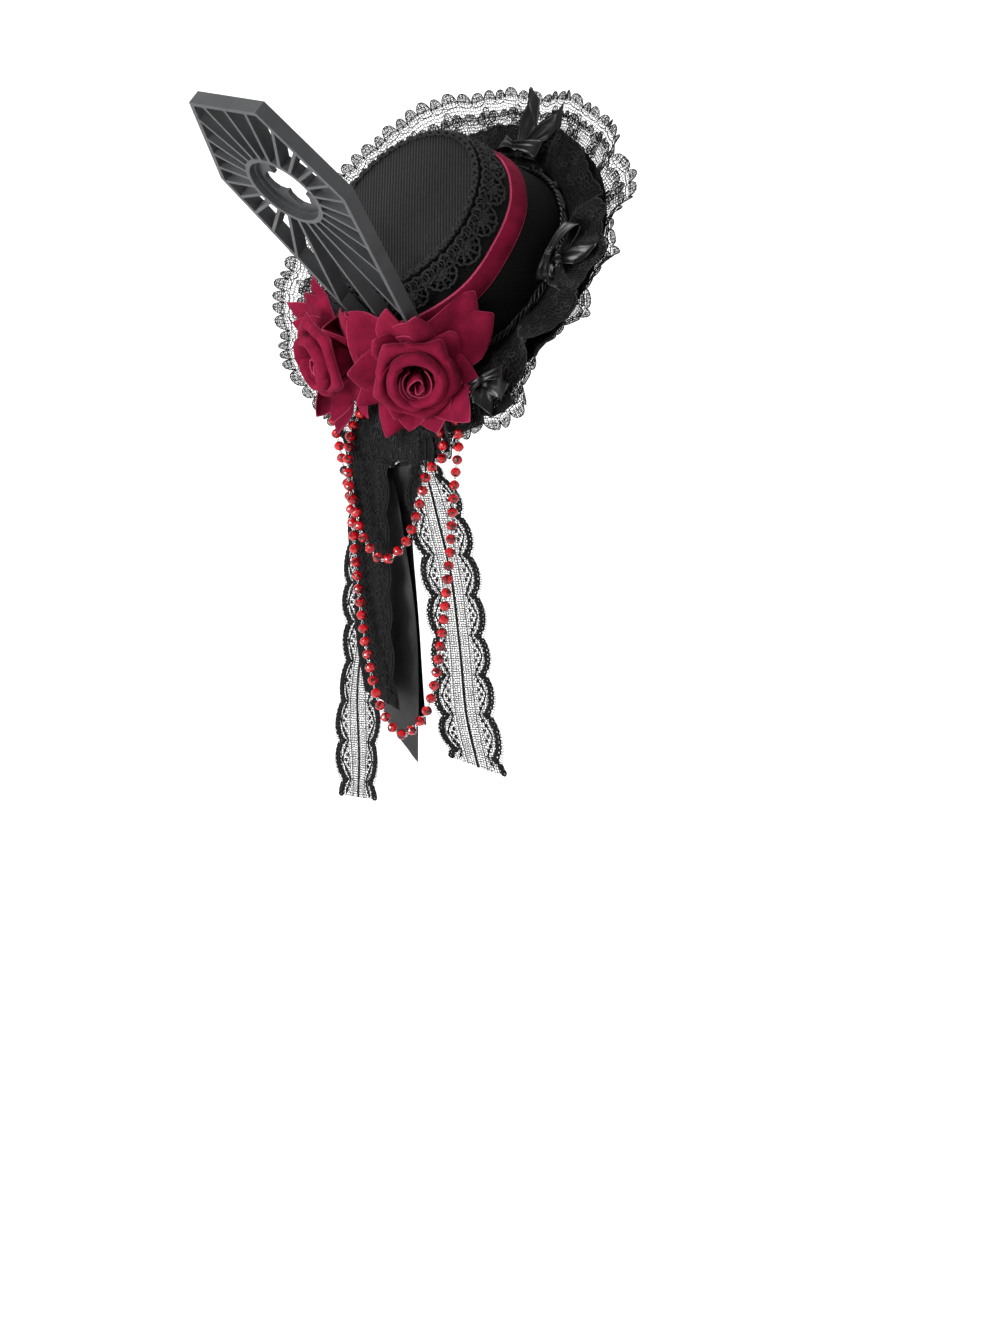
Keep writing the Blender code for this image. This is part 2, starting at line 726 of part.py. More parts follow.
def add_bow(name, turn, out, strips, satin):
    """A knot with loops and tails; out is the knot's place on the ruffle, from its seam."""
    radius = RUFFLE_INNER + RUFFLE_SPREAD * out
    height = ruffle_top(turn, radius) + CLOTH_GAP + KNOT_SIZE / 2
    place = (turn, radius, height)
    verts = []
    for level, size in ((-0.5, 0.6), (-0.15, 1.0), (0.2, 1.0), (0.5, 0.6)):
        for n in range(8):
            angle = radians(22.5 + 45 * n)
            corner = Vector((cos(angle), sin(angle), 0)) * (KNOT_SIZE * size / 2)
            moved = hat_vector(turn, radius + corner.x, height + KNOT_SIZE * level)
            verts.append(moved + hat_vector(turn + 90, corner.y, 0))
    bow = add_object(name, verts, tube_faces(4, 8), satin)
    parts = [thick_sheet(bow_strip(place, *strip), SATIN_THICKNESS) for strip in strips]
    boolean(bow, add_guide("strips_" + name, *joined(parts), satin), "UNION", overlapping=True)


def add_bows(satin):
    # heading (0 out from the crown, 90 towards higher turns), length as a share of the ruffle's
    # spread, rise, loop
    add_bow("bow_top", 354, 0.10, ((8, 0.79, TAIL_RISE, False), (-48, 0.77, TAIL_RISE, False),
                                   (-88, 0.41, LOOP_RISE, True), (80, 0.31, LOOP_RISE, True)),
            satin)
    add_bow("bow_side", 272, 0.10, ((10, 0.56, TAIL_RISE / 4, False),
                                    (-62, 0.49, TAIL_RISE / 4, False),
                                    (78, 0.49, LOOP_RISE, True), (-88, 0.31, LOOP_RISE, True)),
            satin)
    add_bow("bow_low", 219, 0.61, ((-20, 0.36, TAIL_RISE / 4, False),
                                   (35, 0.38, TAIL_RISE / 4, False),
                                   (-85, 0.23, LOOP_RISE / 2, True),
                                   (80, 0.28, LOOP_RISE / 2, True)), satin)


# Hanging tails

def scallop(distance):
    """How far an edge of scallops is drawn in at a distance along it, as a share."""
    return 1 - abs(sin(pi * distance / LACE_SCALLOP_PITCH))


def hang(name, seat, route, width, length, heading, thickness, finish, scallops=(0, 0), slant=0):
    """A tail from its seat on the ruffle down its route.

    seat: points on the ruffle of its left edge, middle line and right edge. route: rows of down,
    right, forward and width, as shares of the length and of the width. heading turns its width
    from +X in plan. slant is how much longer its right edge is than its left, as a share of the
    width.
    """
    across = Vector((cos(radians(heading)), sin(radians(heading)), 0))
    start = seat[1][-1]
    lines = []
    for edge, line in zip((-1, 0, 1), seat):
        points = list(line)
        for down, right, forward, wide in route:
            point = start + view_vector(right * length, forward * length, -down * length)
            points.append(point + across * (edge * wide * width / 2))
        points[-1] -= UP * (edge * slant * width / 2)
        lines.append(smooth_path(points, 3))
    rows = []
    distance = 0.0
    before = lines[1][0]
    for left, middle, right in zip(*lines):
        distance += (middle - before).length
        before = middle
        drawn = [2 * depth * scallop(distance) / width for depth in scallops]
        rows.append([left.lerp(middle, drawn[0]), middle, right.lerp(middle, drawn[1])])
    verts, faces = thick_sheet(rows, thickness)
    add_object(name, verts, faces, finish)


def seat_turns(turn, width):
    """Turns of the left edge, the middle line and the right edge of a tail on the ruffle."""
    half = degrees(width / 2 / ruffle_row(turn)[0])
    return turn - half, turn, turn + half


def over_edge(turn, width, thickness):
    """Seat of a tail that lies on the ruffle and comes over its free edge."""
    clear = 1.5 * CLOTH_GAP + thickness / 2
    lines = []
    for line_turn in seat_turns(turn, width):
        reach = ruffle_row(line_turn)[0]
        line = [hat_vector(line_turn, reach * share, ruffle_top(line_turn, reach * share) + clear)
                for share in (0.90, 0.96)]
        line.append(hat_vector(line_turn, reach + clear, ruffle_top(line_turn, reach) + clear))
        lines.append(line)
    return lines


def under_edge(turn, width, thickness):
    """Seat of a tail that is sewn under the ruffle's free edge."""
    lines = []
    for line_turn in seat_turns(turn, width):
        radius = ruffle_row(line_turn)[0] - UNDER_INSET
        low = ruffle_height(line_turn, radius) - (RUFFLE_THICKNESS + thickness) / 2 - 2 * SEAT
        lines.append([hat_vector(line_turn, radius, low)])
    return lines


def add_tails(lace, satin):
    both = (LACE_SCALLOP_DEPTH, LACE_SCALLOP_DEPTH)
    hang("tail_lace_right", over_edge(191.5, LACE_TAIL_WIDTH * 0.4, LACE_TAIL_THICKNESS),
         ((0.02, 0.00, 0.01, 0.45), (0.14, 0.03, 0.03, 0.90), (0.36, 0.08, 0.03, 0.95),
          (0.60, 0.11, 0.04, 0.95), (0.82, 0.13, 0.06, 1), (1.0, 0.17, 0.07, 1)),
         LACE_TAIL_WIDTH, RIGHT_LACE_LENGTH, -45, LACE_TAIL_THICKNESS, lace, both, 0.35)
    hang("tail_lace_left", under_edge(160, NARROW_TOP, LACE_TAIL_THICKNESS),
         ((0.06, 0.00, 0.03, 0.25), (0.22, 0.03, 0.08, 0.9), (0.50, 0.04, 0.09, 1),
          (0.80, 0.03, 0.09, 1), (1.0, 0.03, 0.09, 1)),
         LACE_TAIL_WIDTH, LEFT_LACE_LENGTH, -90, LACE_TAIL_THICKNESS, lace, both)
    hang("tail_scalloped", over_edge(174, SCALLOPED_WIDTH, LACE_TAIL_THICKNESS),
         ((0.02, 0.00, 0.01, 1), (0.15, 0.00, 0.04, 1), (0.40, 0.00, 0.05, 1),
          (0.72, 0.01, 0.05, 1), (1.0, 0.04, 0.05, 1)),
         SCALLOPED_WIDTH, SCALLOPED_LENGTH, -90, LACE_TAIL_THICKNESS, lace,
         (0, LACE_SCALLOP_DEPTH), 0.3)
    hang("tail_satin", under_edge(173, NARROW_TOP, SATIN_THICKNESS),
         ((0.06, 0.01, 0.02, 0.6), (0.20, 0.02, 0.03, 1), (0.50, 0.06, 0.03, 1),
          (0.80, 0.08, 0.03, 1), (1.0, 0.08, 0.04, 1)),
         WIDE_SATIN_WIDTH, WIDE_SATIN_LENGTH, -90, SATIN_THICKNESS, satin, slant=0.8)
    hang("tail_satin_dark", under_edge(184, NARROW_TOP, SATIN_THICKNESS),
         ((0.06, -0.01, 0.04, 0.8), (0.20, -0.03, 0.10, 1), (0.50, -0.02, 0.11, 1),
          (1.0, 0.02, 0.12, 1)),
         DARK_SATIN_WIDTH, DARK_SATIN_LENGTH, -80, SATIN_THICKNESS, satin)


# Bead strands

def add_strand(name, start_turn, route, end_turn, glass):
    """Beads on wire from the ruffle's top down in a loop and back onto it."""
    clear = BEAD_DIAMETER / 2 + CLOTH_GAP

    def on_ruffle(turn):
        reach = ruffle_row(turn)[0]
        inner = [hat_vector(turn, reach * share, ruffle_top(turn, reach * share) + clear)
                 for share in (0.86, 0.94)]
        return inner + [hat_vector(turn, reach + clear, ruffle_top(turn, reach) + clear)]

    points = on_ruffle(start_turn) + [view_vector(*row) for row in route]
    points += list(reversed(on_ruffle(end_turn)))
    centres = even_points(smooth_path(points, 12), BEAD_PITCH)
    half_pitch = (centres[1] - centres[0]).length / 2
    belt = BEAD_DIAMETER * 0.26
    verts = []
    faces = []
    side = (centres[1] - centres[0]).orthogonal()

    def add_ring(centre, tangent, shift, sides, radius):
        across = side * radius
        other = tangent.cross(side) * radius
        for corner in range(sides):
            angle = 2 * pi * corner / sides
            verts.append(centre + tangent * shift + across * cos(angle) + other * sin(angle))

    for n, centre in enumerate(centres):
        tangent = (centres[min(n + 1, len(centres) - 1)] - centres[max(n - 1, 0)]).normalized()
        side = (side - tangent * side.dot(tangent)).normalized()
        if n == 0:
            add_ring(centre, tangent, -half_pitch, WIRE_SIDES, WIRE_THICKNESS / 2)
            faces.append(tuple(range(WIRE_SIDES)))
        wire = len(verts) - WIRE_SIDES
        low = len(verts)
        add_ring(centre, tangent, -belt, BEAD_SIDES, BEAD_DIAMETER / 2)
        high = len(verts)
        add_ring(centre, tangent, belt, BEAD_SIDES, BEAD_DIAMETER / 2)
        after = len(verts)
        add_ring(centre, tangent, half_pitch, WIRE_SIDES, WIRE_THICKNESS / 2)
        faces += cone_faces(wire, low) + cone_faces(after, high)
        faces += [(low + k, low + (k + 1) % BEAD_SIDES, high + (k + 1) % BEAD_SIDES, high + k)
                  for k in range(BEAD_SIDES)]
    faces.append(tuple(range(len(verts) - WIRE_SIDES, len(verts))))
    add_object(name, verts, faces, glass)


def cone_faces(wire, bead):
    """Faces between a ring of wire corners and a bead's ring with twice as many."""
    faces = []
    for k in range(WIRE_SIDES):
        after = (k + 1) % WIRE_SIDES
        odd = bead + 2 * k + 1
        faces.append((wire + k, bead + 2 * k, odd))
        faces.append((wire + k, odd, bead + 2 * after, wire + after))
    return faces


def add_clip(name, turn, metal):
    """A flat clip under the brim, across the wearer's front or back."""
    inner = wall_radius(FELT) - FELT
    middle = (inner + BRIM_RADIUS) / 2
    verts = []
    for height in (-SEAT - CLIP_THICKNESS, -SEAT):
        for x, y in ((-1, -1), (1, -1), (1, 1), (-1, 1)):
            across = hat_vector(turn, middle + x * CLIP_WIDTH / 2, height)
            verts.append(across + hat_vector(turn + 90, y * CLIP_LENGTH / 2, 0))
    add_object(name, verts, tube_faces(2, 4), metal, smooth=False)


def build():
    for old in list(bpy.data.objects):
        bpy.data.objects.remove(old, do_unlink=True)
    felt = material("felt", (0.012, 0.012, 0.013), 0.95)
    twill = material("twill", (0.022, 0.022, 0.023), 0.85)
    velvet = material("velvet", (0.20, 0.010, 0.034), 0.80)
    lace = material("lace", (0.012, 0.012, 0.013), 0.75)
    satin = material("satin", (0.02, 0.02, 0.021), 0.35)
    plastic = material("plastic", (0.10, 0.10, 0.105), 0.55)
    glass = material("glass", (0.55, 0.01, 0.02), 0.10)
    metal = material("metal", (0.03, 0.03, 0.03), 0.40, 0.9)
    add_brim(felt)
    add_crown(felt, twill)
    add_velvet_band(velvet)
    add_crown_lace(lace)
    add_gathering_ribbon(satin)
    add_ruffle(lace)
    add_plate(plastic)
    add_roses(velvet)
    add_bows(satin)
    add_tails(lace, satin)
    add_strand("bead_strand_long", 154, LONG_ROUTE, 205, glass)
    add_strand("bead_strand_short", 165, SHORT_ROUTE, 198.5, glass)
    add_clip("clip_back", 90, metal)
    add_clip("clip_front", 270, metal)


build()
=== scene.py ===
"""Mini top hat fascinator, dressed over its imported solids.

Metres, +Z up, -Y is the wearer's front. The origin is the middle of the brim's underside.
"""

import random
from math import atan2, cos, degrees, exp, hypot, pi, radians, sin, sqrt

import bpy
import bmesh
from mathutils import Matrix, Vector


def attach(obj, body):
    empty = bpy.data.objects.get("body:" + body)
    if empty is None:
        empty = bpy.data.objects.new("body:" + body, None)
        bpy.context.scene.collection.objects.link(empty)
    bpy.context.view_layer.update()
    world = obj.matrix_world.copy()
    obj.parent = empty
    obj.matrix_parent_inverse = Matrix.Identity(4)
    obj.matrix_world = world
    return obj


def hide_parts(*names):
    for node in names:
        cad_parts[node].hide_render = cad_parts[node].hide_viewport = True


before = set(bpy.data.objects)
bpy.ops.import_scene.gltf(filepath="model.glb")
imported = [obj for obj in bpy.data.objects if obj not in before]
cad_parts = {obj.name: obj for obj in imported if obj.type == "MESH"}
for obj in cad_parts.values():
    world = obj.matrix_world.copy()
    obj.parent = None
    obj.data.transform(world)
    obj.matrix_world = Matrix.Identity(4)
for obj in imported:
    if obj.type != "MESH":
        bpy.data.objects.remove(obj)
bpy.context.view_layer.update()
random.seed(7)

MM = 0.001
LEAN = 57.0                     # degrees between the crown's axis and the vertical
HAT_FRAME = Matrix.Rotation(-radians(LEAN), 3, "Y")
VIEW_RIGHT = Vector((sqrt(0.5), -sqrt(0.5), 0))
VIEW_FORWARD = Vector((sqrt(0.5), sqrt(0.5), 0))
UP = Vector((0, 0, 1))

# Sizes of the hat, as its solids have them
BRIM_RADIUS = 0.081
FELT = 0.002
CROWN_HEIGHT = 0.056
CROWN_FOOT_RADIUS = 0.0585
CROWN_TOP_RADIUS = 0.0450
BAND_LOW = 0.0269
BAND_WIDTH = 0.0100
TRIM_SCALLOPS = 18
TRIM_RADIUS = 0.047             # of the crown's wall where the trim's scallops hang
GATHERING_WIDTH = 0.0026
RUFFLE_INNER = 0.0610
RUFFLE_FLOOR = 0.0028
RUFFLE_REACH = 0.100
RUFFLE_RISE = 0.028
RUFFLE_FOLDS = 11
FOLD_HEIGHT = 0.0050
RUFFLE_ROWS = (
    # turn, reach, rise
    (0, 0.98, 0.36),
    (30, 1.00, 0.78),
    (60, 1.01, 1.00),
    (95, 1.01, 1.00),
    (125, 1.00, 0.78),
    (150, 1.00, 0.10),
    (180, 1.04, -0.42),
    (212, 1.02, -0.34),
    (236, 0.97, 0.10),
    (252, 0.93, 0.14),
    (270, 0.92, 0.22),
    (290, 0.99, 0.18),
    (312, 1.01, 0.28),
    (336, 1.00, 0.42),
)
CLOTH_GAP = 0.0008


# Places on the hat

def hat_vector(turn, radius, height):
    """Turn about the crown in degrees, distance from its axis, height above the underside."""
    angle = radians(turn)
    return HAT_FRAME @ Vector((radius * cos(angle), radius * sin(angle), height))


def hat_place(point):
    """Turn, radius and height of a point."""
    local = HAT_FRAME.transposed() @ point
    return degrees(atan2(local.y, local.x)) % 360, hypot(local.x, local.y), local.z


def view_vector(right, forward, up):
    return VIEW_RIGHT * right + VIEW_FORWARD * forward + UP * up


def wall_radius(height):
    """Outside of the crown's wall."""
    return CROWN_FOOT_RADIUS - (CROWN_FOOT_RADIUS - CROWN_TOP_RADIUS) * height / CROWN_HEIGHT


def ruffle_row(turn):
    """Reach and rise of the ruffle's free edge."""
    turn %= 360
    rows = RUFFLE_ROWS + ((RUFFLE_ROWS[0][0] + 360,) + RUFFLE_ROWS[0][1:],)
    for (low, reach_a, rise_a), (high, reach_b, rise_b) in zip(rows, rows[1:]):
        if turn <= high:
            share = (turn - low) / (high - low)
            share = share * share * (3 - 2 * share)
            reach = RUFFLE_REACH * (reach_a + (reach_b - reach_a) * share)
            return reach, RUFFLE_RISE * (rise_a + (rise_b - rise_a) * share)


def ruffle_lines(turn):
    """Radius and height of the ruffle at its seam, past the brim and at its free edge."""
    reach, rise = ruffle_row(turn)
    wave = 0.5 + 0.5 * sin(radians(turn * RUFFLE_FOLDS) + 1.2 * sin(radians(3 * turn)))
    lifted = max(0.0, rise) * 0.38 + FOLD_HEIGHT * wave * 0.4
    return ((RUFFLE_INNER, RUFFLE_FLOOR), (BRIM_RADIUS + 0.0012, RUFFLE_FLOOR + lifted),
            (reach, RUFFLE_FLOOR + rise + FOLD_HEIGHT * wave))


def ruffle_height(turn, radius):
    (seam, low), (past, middle), (reach, edge) = ruffle_lines(turn)
    if radius < past:
        return low + (middle - low) * max(0.0, (radius - seam) / (past - seam))
    return middle + (edge - middle) * (radius - past) / (reach - past)


def above_ruffle(point, clearance):
    """The same point, moved to lie clear on the ruffle and clear of the crown."""
    turn, radius, height = hat_place(point)
    crown = wall_radius(max(0.0, min(height, CROWN_HEIGHT))) + GATHERING_WIDTH + clearance
    radius = max(radius, crown)
    if radius < ruffle_row(turn)[0] + clearance:
        height = max(height, ruffle_height(turn, radius) + 3 * MM + clearance)
    return hat_vector(turn, radius, height)


# Making meshes

def make_piece(name, verts, faces, finish, uvs=None, smooth=True):
    """A mesh piece; uvs holds one pair for each point."""
    mesh = bpy.data.meshes.new(name)
    mesh.from_pydata([tuple(v) for v in verts], [], faces)
    if uvs:
        layer = mesh.uv_layers.new(name="UVMap")
        for loop in mesh.loops:
            layer.data[loop.index].uv = uvs[loop.vertex_index]
    work = bmesh.new()
    work.from_mesh(mesh)
    bmesh.ops.recalc_face_normals(work, faces=work.faces)
    work.to_mesh(mesh)
    work.free()
    if smooth:
        mesh.shade_smooth()
    mesh.materials.append(finish)
    made = bpy.data.objects.new(name, mesh)
    bpy.context.collection.objects.link(made)
    return made


def grid_faces(rows, columns, closed=False, first=0):
    """Faces of a grid of points; a closed one joins its last column to its first."""
    faces = []
    for r in range(rows - 1):
        for c in range(columns if closed else columns - 1):
            a = first + r * columns + c
            b = first + r * columns + (c + 1) % columns
            faces.append((a, b, b + columns, a + columns))
    return faces


def thicken(piece, thickness, offset=0.0):
    """Gives a sheet its thickness."""
    made = piece.modifiers.new("thickness", "SOLIDIFY")
    made.thickness = thickness
    made.offset = offset
    made.use_rim = True


def turned_piece(name, profile, finish, sides=144, closed=True):
    """A profile of (radius, height) turned round the crown's axis."""
    verts = [hat_vector(360 * n / sides, radius, height)
             for n in range(sides) for radius, height in profile]
    count = len(profile)
    faces = []
    for n in range(sides):
        after = (n + 1) % sides
        for k in range(count if closed else count - 1):
            beside = (k + 1) % count
            faces.append((n * count + k, n * count + beside, after * count + beside,
                          after * count + k))
    return make_piece(name, verts, faces, finish)


def smooth_path(points, steps):
    """Points on a Catmull-Rom curve through the given ones."""
    ends = [points[0] * 2 - points[1]] + list(points) + [points[-1] * 2 - points[-2]]
    path = []
    for before, start, stop, after in zip(ends, ends[1:], ends[2:], ends[3:]):
        for step in range(steps):
            t = step / steps
            path.append(0.5 * (start * 2 + (stop - before) * t
                               + (before * 2 - start * 5 + stop * 4 - after) * t * t
                               + (start * 3 - before - stop * 3 + after) * t ** 3))
    return path + [points[-1]]


def even_points(path, spacing):
    """Points the same distance apart along a path, as near to the spacing as fits."""
    runs = [(b - a).length for a, b in zip(path, path[1:])]
    count = max(1, round(sum(runs) / spacing))
    step = sum(runs) / count
    found = [path[0]]
    done = 0.0
    for start, stop, run in zip(path, path[1:], runs):
        while len(found) <= count and len(found) * step <= done + run + 1e-9:
            found.append(start.lerp(stop, (len(found) * step - done) / run))
        done += run
    return found


def thread_piece(name, lines, radius, finish, sides=4):
    """Cords that follow lines of points, all in one mesh."""
    verts = []
    faces = []
    for line in lines:
        if len(line) < 2:
            continue
        first = len(verts)
        side = None
        for n, point in enumerate(line):
            ahead = line[min(n + 1, len(line) - 1)] - line[max(n - 1, 0)]
            if ahead.length < 1e-9:
                ahead = Vector((0, 0, 1))
            ahead.normalize()
            side = ahead.orthogonal() if side is None else side - ahead * side.dot(ahead)
            if side.length < 1e-6:
                side = ahead.orthogonal()
            side.normalize()
            other = ahead.cross(side)
            for k in range(sides):
                angle = 2 * pi * k / sides
                verts.append(point + side * (radius * cos(angle)) + other * (radius * sin(angle)))
        for n in range(len(line) - 1):
            for k in range(sides):
                a = first + n * sides + k
                b = first + n * sides + (k + 1) % sides
                faces.append((a, b, b + sides, a + sides))
        last = first + (len(line) - 1) * sides
        faces.append(tuple(range(first + sides - 1, first - 1, -1)))
        faces.append(tuple(range(last, last + sides)))
    return make_piece(name, verts, faces, finish)


def on_cloth(surface, line, lift):
    """A line of flat places on the cloth, as points that stand proud of its surface."""
    points = []
    step = 0.0002
    for u, v in line:
        here = surface(u, v)
        normal = (surface(u, v + step) - here).cross(surface(u + step, v) - here)
        points.append(here + normal.normalized() * lift)
    return points


# Materials

def to_linear(text):
    """Linear colour of an sRGB hex value."""
    colour = []
    for start in (1, 3, 5):
        value = int(text[start:start + 2], 16) / 255
        colour.append(value / 12.92 if value <= 0.04045 else ((value + 0.055) / 1.055) ** 2.4)
    return (*colour, 1.0)


def add_node(tree, kind, links=None, **settings):
    """A node with its settings, its values and the sockets that feed it.

    A link's key is an input's name or number; its value is a socket or a plain value.
    """
    node = tree.nodes.new(kind)
    for key, value in settings.items():
        setattr(node, key, value)
    for key, value in (links or {}).items():
        if isinstance(value, bpy.types.NodeSocket):
            tree.links.new(value, node.inputs[key])
        else:
            node.inputs[key].default_value = value
    return node


def new_material(name, colour, roughness, gloss=0.5):
    """A material, its node tree and its shader; cloth has little gloss of its own."""
    made = bpy.data.materials.new(name)
    made.use_nodes = True
    shader = made.node_tree.nodes["Principled BSDF"]
    shader.inputs["Base Color"].default_value = to_linear(colour)
    shader.inputs["Roughness"].default_value = roughness
    shader.inputs["Specular IOR Level"].default_value = gloss
    return made, made.node_tree, shader


def two_colours(tree, factor, low, high, start=0.3, stop=0.7):
    """A ramp's colour socket from one hex colour to another."""
    ramp = add_node(tree, "ShaderNodeValToRGB", {0: factor})
    ramp.color_ramp.elements[0].position = start
    ramp.color_ramp.elements[0].color = to_linear(low)
    ramp.color_ramp.elements[1].position = stop
    ramp.color_ramp.elements[1].color = to_linear(high)
    return ramp.outputs["Color"]


def wool_felt():
    """Blocked wool felt: matted fibres, so it is dull, with a soft grain and a faint fuzz."""
    made, tree, shader = new_material("black_felt", "#0e0e0f", 0.95, 0.1)
    place = add_node(tree, "ShaderNodeTexCoord").outputs["Object"]
    # matted tufts about 0.8 mm across
    tufts = add_node(tree, "ShaderNodeTexNoise", {"Vector": place, "Scale": 1200, "Detail": 6})
    colour = two_colours(tree, tufts.outputs[0], "#0a0a0b", "#161617")
    tree.links.new(colour, shader.inputs["Base Color"])
    bump = add_node(tree, "ShaderNodeBump", {"Height": tufts.outputs[0], "Strength": 0.35,
                                             "Distance": 0.0004})
    tree.links.new(bump.outputs[0], shader.inputs["Normal"])
    return made


def ribbed_twill():
    """Woven cloth with ribs 1.7 mm apart, each with a broken, speckled crest; the crests carry
    painted light and the grooves painted shade.
    """
    made, tree, shader = new_material("ribbed_cloth", "#2a2a2b", 0.88, 0.12)
    place = add_node(tree, "ShaderNodeTexCoord").outputs["Object"]
    # turned so that X runs across the ribs: away from -Y, leaned with the crown
    turned = add_node(tree, "ShaderNodeMapping", {"Vector": place, "Rotation": (
        0, radians(LEAN), 0)}, vector_type="POINT")
    across = add_node(tree, "ShaderNodeMapping", {"Vector": turned.outputs[0], "Rotation": (
        0, 0, radians(-118.6))}, vector_type="POINT")
    ribs = add_node(tree, "ShaderNodeTexWave", {"Vector": across.outputs[0], "Scale": 370 / 2,
                                                "Distortion": 0.6, "Detail": 1,
                                                "Detail Scale": 3}, wave_profile="SIN")
    weave = add_node(tree, "ShaderNodeTexNoise", {"Vector": place, "Scale": 1500, "Detail": 3})
    both = add_node(tree, "ShaderNodeMath", {0: ribs.outputs["Fac"], 1: weave.outputs[0]},
                    operation="MULTIPLY")
    # colour follows the ribs: painted light on the crests and painted shade in the grooves, broken
    # by the weave's own speckle
    colour = two_colours(tree, both.outputs[0], "#161617", "#3a3a3b", 0.05, 0.75)
    tree.links.new(colour, shader.inputs["Base Color"])
    bump = add_node(tree, "ShaderNodeBump", {"Height": both.outputs[0], "Strength": 0.6,
                                             "Distance": 0.0005})
    tree.links.new(bump.outputs[0], shader.inputs["Normal"])
    return made


def cotton_thread(name, colour, high):
    """Twisted cotton thread: dull, with a fine broken grain where the strands turn."""
    made, tree, shader = new_material(name, colour, 0.8, 0.12)
    place = add_node(tree, "ShaderNodeTexCoord").outputs["Object"]
    strands = add_node(tree, "ShaderNodeTexNoise", {"Vector": place, "Scale": 2200, "Detail": 3})
    tree.links.new(two_colours(tree, strands.outputs[0], colour, high),
                   shader.inputs["Base Color"])
    bump = add_node(tree, "ShaderNodeBump", {"Height": strands.outputs[0], "Strength": 0.6,
                                             "Distance": 0.0003})
    tree.links.new(bump.outputs[0], shader.inputs["Normal"])
    return made


def lace_net(name, colour, cell, thread):
    """Nylon net of fine threads round open cells; cell and thread in metres.

    Real net has cells of about 1 mm. They are drawn a little coarser so that they show.
    """
    made, tree, shader = new_material(name, colour, 0.6, 0.12)
    place = add_node(tree, "ShaderNodeUVMap", uv_map="UVMap").outputs[0]
    cells = add_node(tree, "ShaderNodeTexVoronoi", {"Vector": place, "Scale": 1 / cell,
                                                    "Randomness": 0.55},
                     feature="DISTANCE_TO_EDGE", voronoi_dimensions="2D")
    threads = add_node(tree, "ShaderNodeMath", {0: cells.outputs["Distance"],
                                                1: thread / cell / 2}, operation="LESS_THAN")
    tree.links.new(threads.outputs[0], shader.inputs["Alpha"])
    return made


def velvet(name, deep, middle, rim_colour):
    """Cotton velvet cut into petals or ribbon: short upright pile that is dark face on, bright
    where it is seen aslant, with a pale line where the cut edge frays."""
    made, tree, shader = new_material(name, middle, 0.9, 0.06)
    place = add_node(tree, "ShaderNodeTexCoord").outputs["Object"]
    pile = add_node(tree, "ShaderNodeTexNoise", {"Vector": place, "Scale": 900, "Detail": 5})
    brushed = add_node(tree, "ShaderNodeTexNoise", {"Vector": place, "Scale": 110, "Detail": 4})
    mixed = add_node(tree, "ShaderNodeMath", {0: pile.outputs[0], 1: brushed.outputs[0]},
                     operation="MULTIPLY_ADD")
    mixed.inputs[1].default_value = 0.55
    tree.links.new(brushed.outputs[0], mixed.inputs[2])
    colour = two_colours(tree, mixed.outputs[0], deep, middle, 0.2, 1.0)
    # petals carry their distance from the cut edge as UV, in metres
    edge = add_node(tree, "ShaderNodeSeparateXYZ",
                    {0: add_node(tree, "ShaderNodeUVMap", uv_map="UVMap").outputs[0]})
    frayed = add_node(tree, "ShaderNodeMath", {0: pile.outputs[0], 1: 0.0004, 2: 0.0001},
                      operation="MULTIPLY_ADD")
    near = add_node(tree, "ShaderNodeMath", {0: edge.outputs[0], 1: frayed.outputs[0]},
                    operation="LESS_THAN")
    rimmed = add_node(tree, "ShaderNodeMix", {0: near.outputs[0], 6: colour,
                                              7: to_linear(rim_colour)}, data_type="RGBA")
    tree.links.new(rimmed.outputs[2], shader.inputs["Base Color"])
    bump = add_node(tree, "ShaderNodeBump", {"Height": pile.outputs[0], "Strength": 0.25,
                                             "Distance": 0.0003})
    tree.links.new(bump.outputs[0], shader.inputs["Normal"])
    shader.inputs["Sheen Weight"].default_value = 0.10
    shader.inputs["Sheen Roughness"].default_value = 0.4
    shader.inputs["Sheen Tint"].default_value = to_linear("#d05a78")
    return made


def satin(name, colour, high, roughness):
    """Polyester satin ribbon: long floats along the ribbon that give a broad sheen."""
    made, tree, shader = new_material(name, colour, roughness, 0.35)
    place = add_node(tree, "ShaderNodeUVMap", uv_map="UVMap").outputs[0]
    # floats 0.3 mm wide that run a long way along the ribbon
    stretched = add_node(tree, "ShaderNodeMapping", {"Vector": place, "Scale": (3300, 120, 1)})
    floats = add_node(tree, "ShaderNodeTexNoise", {"Vector": stretched.outputs[0], "Scale": 1,
                                                   "Detail": 2})
    tree.links.new(two_colours(tree, floats.outputs[0], colour, high),
                   shader.inputs["Base Color"])
    bump = add_node(tree, "ShaderNodeBump", {"Height": floats.outputs[0], "Strength": 0.12,
                                             "Distance": 0.0002})
    tree.links.new(bump.outputs[0], shader.inputs["Normal"])
    shader.inputs["Sheen Weight"].default_value = 0.05
    shader.inputs["Sheen Roughness"].default_value = 0.3
    return made


def moulded_plastic():
    """Moulded matte ABS: fine spark-eroded texture, so highlights spread and edges catch light."""
    made, tree, shader = new_material("matte_black_plastic", "#37383a", 0.5)
    place = add_node(tree, "ShaderNodeTexCoord").outputs["Object"]
    grain = add_node(tree, "ShaderNodeTexNoise", {"Vector": place, "Scale": 2500, "Detail": 2})
    cloud = add_node(tree, "ShaderNodeTexNoise", {"Vector": place, "Scale": 60, "Detail": 3})
    tree.links.new(two_colours(tree, cloud.outputs[0], "#303133", "#3c3d3f"),
                   shader.inputs["Base Color"])
    bump = add_node(tree, "ShaderNodeBump", {"Height": grain.outputs[0], "Strength": 0.12,
                                             "Distance": 0.0002})
    tree.links.new(bump.outputs[0], shader.inputs["Normal"])
    return made


